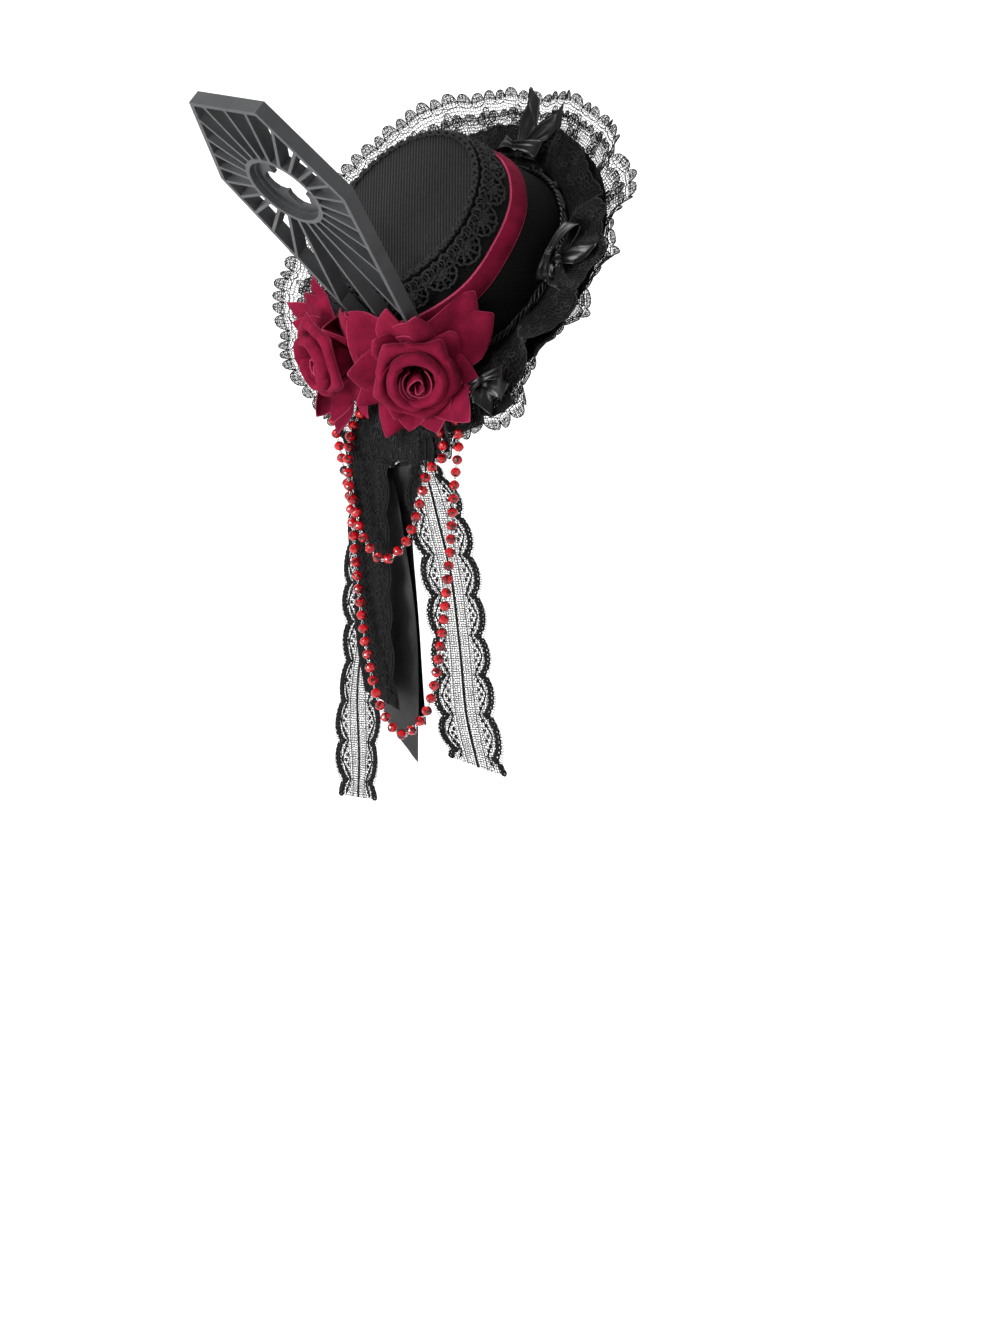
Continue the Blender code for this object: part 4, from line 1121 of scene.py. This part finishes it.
# Tips of the outer petals as the viewer sees them, right and up of the rose's base, then the
# tip's level, half width and belly in millimetres, curl, roll, and how far it is kept off the hat
FRONT_PETALS = (
    (28.0, 35.0, 4, 15.0, 3.0, 0.30, 0.0, 0.0002),
    (37.0, 24.5, 5, 15.5, 3.5, 0.25, 0.0, 0.0010),
    (31.0, -8.0, 9, 12.5, 4.0, 0.30, 0.0, 0.0008),
    (25.8, -26.0, 10, 11.5, 3.0, 0.30, 0.0, 0.0012),
    (10.6, -32.0, 10, 10.5, 3.0, 0.35, 0.0, 0.0008),
    (-2.8, -31.5, 9, 10.0, 3.0, 0.35, 0.0, 0.0012),
    (-14.0, -34.5, 7, 10.0, 4.0, 0.60, 0.3, 0.0008),
    (-31.5, 25.0, 0, 17.0, 2.0, 0.20, 0.0, 0.0),
    (-10.0, 31.0, 15, 13.5, 4.0, 0.35, 0.2, 0.0006),
    (-32.0, -4.0, 9, 12.0, 4.0, 0.40, 0.0, 0.0014),
    (-28.0, -19.0, 9, 8.5, 4.0, 0.90, 0.5, 0.0010),
    (-19.5, 12.0, 13, 11.5, 4.0, 0.50, 0.3, 0.0016),
    (19.5, 15.5, 13, 12.0, 3.0, 0.40, 0.2, 0.0018),
    (22.5, -8.0, 13, 11.0, 3.0, 0.45, 0.0, 0.0018),
    (14.5, -25.0, 13, 10.5, 3.0, 0.45, 0.0, 0.0018),
    (-10.0, -25.5, 13, 10.5, 3.0, 0.50, 0.2, 0.0018),
    (4.0, 28.0, 19, 13.0, 2.0, 0.30, 0.2, 0.0012),
    (2.0, 19.0, 13, 12.0, 3.0, 0.45, 0.0, 0.0016),
)
LEFT_PETALS = (
    (-19.2, 34.7, 2, 9.0, 5.0, 0.35, 0.2, 0.0002),
    (-23.2, 26.2, 8, 11.0, 4.0, 0.35, 0.2, 0.0006),
    (-32.2, 21.2, 12, 9.5, 4.0, 0.35, 0.0, 0.0010),
    (-29.7, 11.7, 16, 9.5, 3.0, 0.35, 0.0, 0.0014),
    (-17.7, -33.3, 14, 10.5, 4.0, 0.35, 0.0, 0.0006),
    (-9.7, -36.3, 12, 10.0, 4.0, 0.40, 0.2, 0.0010),
    (-6.9, -41.3, 9, 10.0, 4.0, 0.45, 0.0, 0.0004),
    (7.8, -33.8, 6, 10.5, 4.0, 0.45, 0.0, 0.0002),
    (-2.0, 16.0, 13, 11.0, 5.0, 0.80, 0.6, 0.0012),
    (5.0, -6.0, 13, 12.0, 5.0, 0.90, 0.6, 0.0010),
    (-13.5, 9.0, 19, 11.0, 3.0, 0.80, 0.5, 0.0016),
    (-13.0, -22.0, 19, 11.0, 3.0, 0.60, 0.3, 0.0016),
    (3.0, 13.0, 8, 14.0, 5.0, 0.45, 0.0, 0.0004),
)


def dress_rose(name, node, base, axis, petals, turned):
    axes = rose_axes(axis)
    grids = []
    for right, up, level, width, belly, curl, roll, lift in petals:
        grids.append((pointed_petal(base, axes, (right * MM, up * MM), level * MM, width * MM,
                                    belly * MM, curl, 0.004, roll), lift))
    grids += rose_heart(base, axes, turned)
    place_piece(petals_piece(name, grids, ROSE_VELVET), "burgundy_velvet", node)


def dress_roses():
    dress_rose("rose_front_petals", "rose_front", view_vector(-0.0262, -0.0540, -0.0430),
               (0.03, -0.93, -0.36), FRONT_PETALS, 0)
    dress_rose("rose_left_petals", "rose_left", view_vector(-0.0590, -0.0215, -0.0350),
               (-0.87, -0.38, -0.32), LEFT_PETALS, 37)


# Pierced plate

def dress_plate():
    """The moulded plate with its edges softened, as they come from a mould."""
    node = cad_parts["grille_plate"]
    mesh = node.data.copy()
    mesh.name = "moulded_grille"
    mesh.materials.clear()
    mesh.materials.append(PLASTIC)
    piece = bpy.data.objects.new("moulded_grille", mesh)
    bpy.context.collection.objects.link(piece)
    bevel = piece.modifiers.new("soft_edges", "BEVEL")
    bevel.width = 0.0003
    bevel.segments = 2
    bevel.limit_method = "ANGLE"
    bevel.angle_limit = radians(40)
    place_piece(piece, "matte_black_plastic", "grille_plate")


# Bows

SATIN_WIDTH = 0.0100
LOOP_RISE = 0.0075
KNOT_SIZE = 0.0060


def bow_strip(place, heading, length, rise, loop):
    """Grid of points of a ribbon loop or tail that leaves the knot."""
    turn, radius, height = place
    start = hat_vector(turn, radius, height)
    out = hat_vector(turn, 1, 0)
    side = hat_vector(turn + 90, 1, 0)
    axis = hat_vector(0, 0, 1)
    ahead = out * cos(radians(heading)) + side * sin(radians(heading))
    level = axis.cross(ahead)
    way = 1 if level.dot(VIEW_FORWARD) > 0 else -1
    rows = []
    steps = 24
    for step in range(steps + 1):
        share = step / steps
        if loop:
            reach = length * sin(pi * share) ** 0.8
            lift = rise * (0.5 - 0.5 * cos(pi * share))
            wide = SATIN_WIDTH * (0.35 + 0.65 * sin(pi * share))
            tilt = 0.0
        else:
            reach = length * share
            lift = rise * share + 0.0012 * sin(5 * share)
            wide = SATIN_WIDTH * (0.45 + 0.55 * min(1.0, 1.6 * share))
            # the free ends twist to face the wearer's right front
            tilt = 0.75 * min(1.0, 1.5 * share)
        middle = start + ahead * reach + axis * lift
        across = level * cos(tilt) + axis * (way * sin(tilt))
        row = []
        for k in range(9):
            s = k / 4 - 1
            crease = 0.0009 * (1 - share if not loop else 1 - sin(pi * share)) * cos(2 * pi * s)
            notch = 0.0
            if not loop and share > 0.85:
                notch = (share - 0.85) / 0.15 * 0.0035 * s
            point = middle + across * (wide * s / 2) + axis * crease + ahead * notch
            row.append((above_ruffle(point, CLOTH_GAP), (wide * s / 2, reach)))
        rows.append(row)
    return rows


def dress_bow(name, node, turn, out, strips):
    radius = RUFFLE_INNER + out
    height = ruffle_height(turn, radius) + 2 * MM + CLOTH_GAP + KNOT_SIZE / 2
    verts = []
    uvs = []
    faces = []
    for strip in strips:
        rows = bow_strip((turn, radius, height), *strip)
        first = len(verts)
        for row in rows:
            verts += [point for point, _ in row]
            uvs += [uv for _, uv in row]
        faces += grid_faces(len(rows), 9, first=first)
    strips_piece = make_piece(name + "_ribbon", verts, faces, SATIN_PAINTED_DARKER, uvs)
    thicken(strips_piece, 0.0004)
    place_piece(strips_piece, "black_satin", node)
    centre = hat_vector(turn, radius, height)
    along = hat_vector(turn, 1, 0)
    side = hat_vector(turn + 90, 1, 0)
    axis = hat_vector(0, 0, 1)
    verts = []
    uvs = []
    for r in range(13):
        lean = pi * r / 12 - pi / 2
        for c in range(24):
            angle = 2 * pi * c / 24
            crease = 1 + 0.09 * sin(5 * angle) * cos(lean)
            size = KNOT_SIZE / 2 * crease
            point = centre + side * (size * 1.05 * sin(lean))
            point += (along * cos(angle) + axis * sin(angle) * 0.85) * (size * cos(lean) ** 0.6
                                                                       + 0.0002)
            verts.append(point)
            uvs.append((r * 0.0005, c * 0.0008))
    faces = grid_faces(13, 24, True)
    faces += [tuple(range(24)), tuple(range(12 * 24, 13 * 24))]
    knot = make_piece(name + "_knot", verts, faces, SATIN_PAINTED_DARKER, uvs)
    place_piece(knot, "black_satin")


def dress_bows():
    # heading (0 out from the crown, 90 towards higher turns), length, rise, loop
    dress_bow("bow_top", "bow_top", 354, 0.004,
              ((8, 0.031, 0.004, False), (-48, 0.030, 0.006, False),
               (-88, 0.016, LOOP_RISE, True), (80, 0.012, LOOP_RISE, True)))
    dress_bow("bow_side", "bow_side", 272, 0.004,
              ((10, 0.022, 0.001, False), (-62, 0.019, 0.002, False),
               (78, 0.019, LOOP_RISE, True), (-88, 0.012, LOOP_RISE, True)))
    dress_bow("bow_low", "bow_low", 219, 0.024,
              ((-20, 0.014, 0.001, False), (35, 0.015, 0.001, False),
               (-85, 0.009, LOOP_RISE / 2, True), (80, 0.011, LOOP_RISE / 2, True)))


# Hanging tails

LACE_TAIL_WIDTH = 0.0280
LACE_SCALLOP_PITCH = 0.0195
SCALLOP_DEPTH = 0.0026
NARROW_TOP = 0.0100
BORDER_REACH = 0.0134           # of the corded edge from the lace tail's middle line
LOBE_ARCH = 0.0050


def seat_turns(turn, width):
    half = degrees(width / 2 / ruffle_row(turn)[0])
    return turn - half, turn, turn + half


def over_edge(turn, width, thickness):
    """Lines of a tail that lies on the ruffle and comes over its free edge."""
    clear = 1.5 * CLOTH_GAP + thickness / 2 + 0.0005
    lines = []
    for line_turn in seat_turns(turn, width):
        reach = ruffle_row(line_turn)[0]
        line = [hat_vector(line_turn, reach * share, ruffle_height(line_turn, reach * share)
                           + clear) for share in (0.90, 0.96)]
        line.append(hat_vector(line_turn, reach + clear, ruffle_height(line_turn, reach) + clear))
        lines.append(line)
    return lines


def under_edge(turn, width, thickness):
    """Lines of a tail that is sewn under the ruffle's free edge."""
    lines = []
    for line_turn in seat_turns(turn, width):
        radius = ruffle_row(line_turn)[0] - 0.003
        low = ruffle_height(line_turn, radius) - 0.0005 - thickness / 2 - 0.0006
        lines.append([hat_vector(line_turn, radius, low)])
    return lines


def tail_lines(seat, route, width, length, heading, slant=0.0):
    """Dense left, middle and right lines of a tail, and the distance along its middle."""
    across = Vector((cos(radians(heading)), sin(radians(heading)), 0))
    start = seat[1][-1]
    lines = []
    for edge, line in zip((-1, 0, 1), seat):
        points = list(line)
        for down, right, forward, wide in route:
            point = start + view_vector(right * length, forward * length, -down * length)
            points.append(point + across * (edge * wide * width / 2))
        points[-1] -= UP * (edge * slant * width / 2)
        lines.append(smooth_path(points, 24))
    distances = [0.0]
    for before, after in zip(lines[1], lines[1][1:]):
        distances.append(distances[-1] + (after - before).length)
    return lines, distances


def tail_surface(lines, distances, width, ripple, waves):
    """A function from flat places on the tail, across and along in metres, to its surface."""
    total = distances[-1]
    facing = (lines[2][-1] - lines[0][-1]).cross(Vector((0, 0, -1))).normalized()

    def surface(u, v):
        v = min(max(v, 0.0), total)
        low = 0
        high = len(distances) - 1
        while high - low > 1:
            middle = (low + high) // 2
            if distances[middle] <= v:
                low = middle
            else:
                high = middle
        share = (v - distances[low]) / max(distances[high] - distances[low], 1e-9)
        s = 2 * u / width
        left = lines[0][low].lerp(lines[0][high], share)
        centre = lines[1][low].lerp(lines[1][high], share)
        right = lines[2][low].lerp(lines[2][high], share)
        point = centre.lerp(right if s > 0 else left, abs(s))
        hang = min(1.0, v / 0.03)
        sway = sin(waves * pi * v / total + 2.2 * s) * ripple * hang
        return point + facing * sway

    return surface, total


def tail_piece(name, surface, total, width, finish, left_scallop, right_scallop, fray=0.0):
    """The tail's cloth, cut to its scallops."""
    rows = 100
    columns = 15
    verts = []
    uvs = []
    for r in range(rows + 1):
        v = total * r / rows
        drawn = 1 - abs(sin(pi * v / LACE_SCALLOP_PITCH))
        for c in range(columns):
            s = 2 * c / (columns - 1) - 1
            depth = (left_scallop if s < 0 else right_scallop) * drawn
            u = s * (width / 2 - depth)
            place = v if r < rows else v - fray * abs(sin(40 * s))
            verts.append(surface(u, place))
            uvs.append((u, v))
    return make_piece(name, verts, grid_faces(rows + 1, columns), finish, uvs)


def lace_tail(name, node, seat, route, length, heading, slant, ripple, waves):
    """Scalloped lace: a sheer ribbed band with a cord, sprigs of leaves and corded fans."""
    width = LACE_TAIL_WIDTH
    lines, distances = tail_lines(seat, route, width, length, heading, slant)
    surface, total = tail_surface(lines, distances, width, ripple, waves)
    base = tail_piece(name, surface, total, width, TAIL_NET, SCALLOP_DEPTH, SCALLOP_DEPTH)
    place_piece(base, "black_lace", node)
    fine = []
    bold = []
    border = []
    sprigs = []
    count = int(total / 0.0011)
    for n in range(count):
        v = 0.002 + n * 0.0011
        if v < total - 0.001:
            fine.append([(-0.0042, v), (-0.0014, v)])
            fine.append([(0.0014, v), (0.0042, v)])
    steps = int(total / 0.0016)
    for way in (-1, 1):
        for place in (0.0046, 0.0050):
            fine.append([(way * place, total * n / 60) for n in range(61)])
        fine.append([(way * (0.0058 + 0.0011 * (n % 2)), total * n / steps)
                     for n in range(steps + 1)])
    bold += [[(0.0003 * (k - 1), total * n / 60) for n in range(61)] for k in range(3)]
    lobes = int(total / LACE_SCALLOP_PITCH) + 1
    for lobe in range(lobes):
        middle = (lobe + 0.5) * LACE_SCALLOP_PITCH
        half = LACE_SCALLOP_PITCH / 2
        for way in (-1, 1):
            for reach in (BORDER_REACH, 0.0114, 0.0102):
                line = []
                for n in range(28):
                    s = n / 13.5 - 1
                    v = middle + s * half
                    arch = sqrt(max(0.0, 1 - s * s))
                    u = way * (reach - LOBE_ARCH + LOBE_ARCH * arch)
                    if 0.001 < v < total - 0.0005:
                        line.append((u, v))
                if reach == BORDER_REACH:
                    border.append([(u - way * 0.0006, v) for u, v in line])
                    for u, v in line[1::3]:
                        border.append([(u - way * 0.0002 + 0.0012 * cos(a), v + 0.0012 * sin(a))
                                       for a in [2 * pi * k / 6 for k in range(7)]])
                else:
                    fine.append(line)
            for sprig in range(7):
                v = middle + (sprig - 3) * half / 4.2
                if 0.002 < v < total - 0.002:
                    u = way * (0.0074 + 0.0012 * (sprig % 2))
                    sprigs.append([(u + 0.0005 * cos(a), v + 0.0007 * sin(a))
                                   for a in [2 * pi * k / 6 for k in range(7)]])
                    fine.append([(u, v), (way * 0.0064, v + 0.0016)])
            for side in (-1, 1):
                line = [(way * (0.0062 + 0.0046 * k / 4), middle + side * half * (1 - k / 4))
                        for k in range(5)]
                bold.append([(u, v) for u, v in line if 0.001 < v < total - 0.0005])
    fringe = []
    for way in (-1, 1):
        for n in range(int(total / 0.0012)):
            v = 0.004 + n * 0.0012
            if v < total - 0.003:
                drawn = 1 - abs(sin(pi * v / LACE_SCALLOP_PITCH))
                u = way * (width / 2 - SCALLOP_DEPTH * drawn)
                fringe.append([(u, v), (u + way * 0.0011, v + 0.0006),
                               (u + way * 0.0014, v + 0.0015), (u + way * 0.0003, v + 0.0018)])
    fine_lines = [on_cloth(surface, line, 0.0001) for line in fine + fringe]
    fine_piece = thread_piece(name + "_fine", fine_lines, 0.00016, LACE_CORD, 3)
    place_piece(fine_piece, "black_lace")
    bold_lines = [on_cloth(surface, line, 0.0003) for line in bold + sprigs
                  if len(line) > 1]
    bold_piece = thread_piece(name + "_cords", bold_lines, 0.00036, LACE_CORD, 4)
    place_piece(bold_piece, "black_lace")
    border_lines = [on_cloth(surface, line, 0.0003) for line in border if len(line) > 1]
    border_piece = thread_piece(name + "_border", border_lines, 0.00062, LACE_CORD, 5)
    place_piece(border_piece, "black_lace")


def ribbon_relief(name, surface, total, width):
    """Raised cords of the opaque lace ribbon: its scalloped edge, sprigs and a row of holes."""
    bold = []
    fine = []
    steps = int(total / 0.0006)
    for inset in (0.0006, 0.0022):
        line = []
        for n in range(steps + 1):
            v = total * n / steps
            drawn = 1 - abs(sin(pi * v / LACE_SCALLOP_PITCH))
            bump = 0.0005 * abs(sin(pi * v / 0.0019))
            line.append((width / 2 - SCALLOP_DEPTH * drawn - inset + bump, v))
        bold.append(line)
    for place in (-0.0115, -0.0095, 0.0045):
        fine.append([(place + 0.0007 * sin(pi * n / 3), total * n / 240) for n in range(241)])
    for n in range(int(total / 0.0065)):
        v = 0.005 + n * 0.0065
        if v < total - 0.006:
            bold += leaf(0.0075 - 0.0020 * (n % 2), v, 0.0042)
            fine += flower(-0.0035, v, 0.0045)
    lines = [on_cloth(surface, line, 0.0003) for line in bold]
    lines += [on_cloth(surface, line, 0.0002) for line in fine]
    piece = thread_piece(name + "_relief", lines, 0.00036, RELIEF_CORD, 4)
    return place_piece(piece, "black_lace")


def dress_tails():
    thick = 0.0010
    lace_tail("lace_tail_right", "tail_lace_right", over_edge(191.5, LACE_TAIL_WIDTH * 0.4, thick),
              ((0.02, 0.00, 0.01, 0.60), (0.14, 0.03, 0.03, 0.95), (0.36, 0.08, 0.03, 0.95),
               (0.60, 0.11, 0.04, 0.95), (0.82, 0.13, 0.06, 1), (1.0, 0.17, 0.07, 1)),
              0.1455, -45, 0.35, 0.0012, 5)
    lace_tail("lace_tail_left", "tail_lace_left", under_edge(160, NARROW_TOP, thick),
              ((0.06, 0.02, 0.03, 0.25), (0.22, 0.045, 0.08, 0.75), (0.50, 0.045, 0.09, 0.95),
               (0.80, 0.03, 0.09, 1), (1.0, 0.03, 0.09, 1)),
              0.1800, -90, 0.0, 0.0012, 5)
    plain = (
        ("scalloped_tail", "tail_scalloped", over_edge(174, 0.0260, thick),
         ((0.02, 0.00, 0.01, 1), (0.15, 0.00, 0.04, 1), (0.40, 0.00, 0.05, 1),
          (0.72, 0.01, 0.05, 1), (1.0, 0.04, 0.05, 1)), 0.0260, 0.1160, -90, 0.3, LACE_RIBBON,
         "black_lace"),
        ("satin_tail", "tail_satin", under_edge(173, NARROW_TOP, 0.0008),
         ((0.06, 0.01, 0.02, 0.6), (0.20, 0.02, 0.03, 1), (0.50, 0.06, 0.03, 1),
          (0.80, 0.08, 0.03, 1), (1.0, 0.08, 0.04, 1)), 0.0250, 0.1395, -90, 0.8, SATIN_PAINTED_LIGHTER,
         "black_satin"),
        ("dark_satin_tail", "tail_satin_dark", under_edge(184, NARROW_TOP, 0.0008),
         ((0.06, -0.03, 0.04, 1.9), (0.20, -0.03, 0.10, 1), (0.50, -0.02, 0.11, 1),
          (1.0, 0.02, 0.12, 1)), 0.0130, 0.1280, -80, 0.0, DARK_SATIN, "dark_satin"),
    )
    for name, node, seat, route, width, length, heading, slant, finish, slot in plain:
        lines, distances = tail_lines(seat, route, width, length, heading, slant)
        surface, total = tail_surface(lines, distances, width, 0.0006, 3)
        scallop = SCALLOP_DEPTH if name == "scalloped_tail" else 0.0
        piece = tail_piece(name, surface, total, width, finish, 0.0, scallop, 0.0003)
        place_piece(piece, slot, node)
        worked = [ribbon_relief(name, surface, total, width)] if scallop else []


# Bead strands

BEAD_DIAMETER = 0.0051
BEAD_PITCH = 0.0065
LONG_ROUTE = (
    # right, forward, up
    (-0.0642, -0.0140, -0.0810),
    (-0.0622, -0.0180, -0.0900),
    (-0.0590, -0.0225, -0.1045),
    (-0.0564, -0.0255, -0.1303),
    (-0.0538, -0.0285, -0.1561),
    (-0.0500, -0.0330, -0.1820),
    (-0.0435, -0.0400, -0.2065),
    (-0.0335, -0.0480, -0.2190),
    (-0.0232, -0.0540, -0.2104),
    (-0.0187, -0.0565, -0.1993),
    (-0.0144, -0.0585, -0.1753),
    (-0.0116, -0.0600, -0.1494),
    (-0.0094, -0.0615, -0.1241),
    (-0.0077, -0.0630, -0.0983),
)
SHORT_ROUTE = (
    # right, forward, up
    (-0.0590, -0.0330, -0.0870),
    (-0.0586, -0.0320, -0.1011),
    (-0.0553, -0.0330, -0.1130),
    (-0.0520, -0.0360, -0.1245),
    (-0.0426, -0.0440, -0.1354),
    (-0.0323, -0.0500, -0.1282),
    (-0.0272, -0.0530, -0.1174),
    (-0.0237, -0.0555, -0.1057),
    (-0.0205, -0.0580, -0.0925),
)


def dress_strand(name, node, start_turn, route, end_turn):
    """Cut beads, each on its own wire, linked by small wire eyes."""
    clear = BEAD_DIAMETER / 2 + CLOTH_GAP

    def on_ruffle(turn):
        reach = ruffle_row(turn)[0]
        inner = [hat_vector(turn, reach * share, ruffle_height(turn, reach * share)
                            + 0.0005 + clear) for share in (0.86, 0.94)]
        top = ruffle_height(turn, reach) + 0.0005 + clear
        return inner + [hat_vector(turn, reach + clear, top)]

    points = on_ruffle(start_turn)[:2] + [view_vector(*row) for row in route]
    points += list(reversed(on_ruffle(end_turn)))
    centres = even_points(smooth_path(points, 12), BEAD_PITCH)
    half_pitch = (centres[1] - centres[0]).length / 2
    verts = []
    faces = []
    links = []
    side = (centres[1] - centres[0]).orthogonal()
    sides = 10
    # radius and place along the wire of each ring of corners, in shares of the diameter
    cuts = ((0.12, -0.46, 0), (0.34, -0.34, 0), (0.50, -0.11, 0.5), (0.50, 0.11, 0),
            (0.34, 0.34, 0.5), (0.12, 0.46, 0.5))
    for n, centre in enumerate(centres):
        tangent = (centres[min(n + 1, len(centres) - 1)] - centres[max(n - 1, 0)]).normalized()
        side = (side - tangent * side.dot(tangent)).normalized()
        spun = Matrix.Rotation(n * 2.4, 3, tangent) @ side
        other = tangent.cross(spun)
        first = len(verts)
        for radius, shift, skew in cuts:
            for k in range(sides):
                angle = 2 * pi * (k + skew) / sides
                verts.append(centre + tangent * (shift * BEAD_DIAMETER)
                             + (spun * cos(angle) + other * sin(angle))
                             * (radius * BEAD_DIAMETER))
        for r in range(len(cuts) - 1):
            skewed = cuts[r + 1][2] - cuts[r][2]
            for k in range(sides):
                a = first + r * sides + k
                b = first + r * sides + (k + 1) % sides
                c = a + sides
                d = b + sides
                if skewed > 0:
                    faces += [(a, b, c), (b, d, c)]
                elif skewed < 0:
                    faces += [(a, d, c), (a, b, d)]
                else:
                    faces.append((a, b, d, c))
        faces.append(tuple(range(first + sides - 1, first - 1, -1)))
        last = first + (len(cuts) - 1) * sides
        faces.append(tuple(range(last, last + sides)))
        for way in (-1, 1):
            eye = centre + tangent * (way * (half_pitch - 0.0004))
            ring = other if way > 0 else spun
            links.append([eye + tangent * (0.0006 * cos(a)) + ring * (0.0006 * sin(a))
                          for a in [2 * pi * k / 10 for k in range(11)]])
            links.append([centre + tangent * (way * BEAD_DIAMETER * 0.44),
                          centre + tangent * (way * (half_pitch - 0.0010))])
    beads = make_piece(name, verts, faces, GLASS, smooth=False)
    # one darker bead near the top of the longer string
    beads.data.materials.append(DARK_GLASS)
    faces_a_bead = len(faces) // len(centres)
    if name == "beads_long":
        for face in range(faces_a_bead * 6, faces_a_bead * 7):
            beads.data.polygons[face].material_index = 1
    place_piece(beads, "red_crystal", node)
    wires = thread_piece(name + "_wire", links, 0.00018, WIRE, 5)
    place_piece(wires, "red_crystal")


# Clips

def dress_clips():
    for name in ("clip_front", "clip_back"):
        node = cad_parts[name]
        mesh = node.data.copy()
        mesh.name = name + "_steel"
        mesh.materials.clear()
        mesh.materials.append(CLIP_METAL)
        piece = bpy.data.objects.new(name + "_steel", mesh)
        bpy.context.collection.objects.link(piece)
        bevel = piece.modifiers.new("rounded_edges", "BEVEL")
        bevel.width = 0.0007
        bevel.segments = 3
        place_piece(piece, "black_metal", name)


# Studio

PICTURE_HEIGHT = 1334           # in pixels, as are the two below
FOCAL_PIXELS = 4305
HAT_ROW = 275.7                 # row of the picture that shows the brim's middle


def build_studio():
    """A pale floor that turns up into a pale wall, and wide soft lights."""
    made, tree, shader = new_material("pale_paper", "#fafafa", 0.9)
    low = -0.42
    profile = [(-1.5, low), (1.6, low)]
    profile += [(1.6 + 0.9 * sin(a), low + 0.9 * (1 - cos(a)))
                for a in [pi / 2 * n / 12 for n in range(1, 13)]]
    profile += [(2.5, 3.2)]
    verts = []
    for forward, height in profile:
        for right in (-3.0, 3.0):
            verts.append(view_vector(right, forward, height))
    paper = make_piece("paper_sweep", verts, grid_faces(len(profile), 2), made)
    world = bpy.context.scene.world or bpy.data.worlds.new("studio")
    bpy.context.scene.world = world
    world.use_nodes = True
    back = world.node_tree.nodes.get("Background")
    back.inputs[0].default_value = (1, 1, 1, 1)
    back.inputs[1].default_value = 0.34
    # right, forward, up, size, watts
    for name, right, forward, up, size, power in (
            ("key_light", -1.1, -1.2, 0.7, 0.8, 10), ("low_light", -1.2, -0.8, -0.25, 0.5, 17),
            ("side_light", 1.3, -0.9, 0.5, 1.2, 4), ("glint_light", -0.5, -1.3, 0.5, 0.06, 4),
            ("paper_light", 0.0, 0.9, 1.9, 2.0, 60)):
        lamp = bpy.data.lights.new(name, "AREA")
        lamp.size = size
        lamp.energy = power
        light = bpy.data.objects.new(name, lamp)
        bpy.context.collection.objects.link(light)
        light.location = view_vector(right, forward, up)
        aim = view_vector(0, 0, -0.08) if name != "paper_light" else view_vector(0, 2.2, 0.2)
        light.rotation_euler = (aim - light.location).to_track_quat("-Z", "Y").to_euler()


def set_camera():
    """The photograph's view: 45 degrees from the wearer's right front, level with the hat."""
    lens = bpy.data.cameras.new("camera")
    lens.sensor_fit = "VERTICAL"
    lens.sensor_height = 36
    lens.lens = lens.sensor_height * FOCAL_PIXELS / PICTURE_HEIGHT
    lens.clip_start = 0.05
    camera = bpy.data.objects.new("camera", lens)
    bpy.context.collection.objects.link(camera)
    camera.location = (-1.4751, -1.4947, 0)
    # looks down so that the brim's middle shows well above the picture's own middle
    pitch = atan2(PICTURE_HEIGHT / 2 - HAT_ROW, FOCAL_PIXELS)
    camera.rotation_euler = (pi / 2 - pitch, 0, radians(-45))
    bpy.context.scene.camera = camera


bpy.context.scene.view_settings.view_transform = "Standard"
set_camera()
build_studio()
dress_hat()
dress_band()
dress_crown_lace()
dress_gathering()
dress_ruffle()
dress_plate()
dress_roses()
dress_bows()
dress_tails()
dress_strand("beads_long", "bead_strand_long", 154, LONG_ROUTE, 205)
dress_strand("beads_short", "bead_strand_short", 165, SHORT_ROUTE, 198.5)
dress_clips()
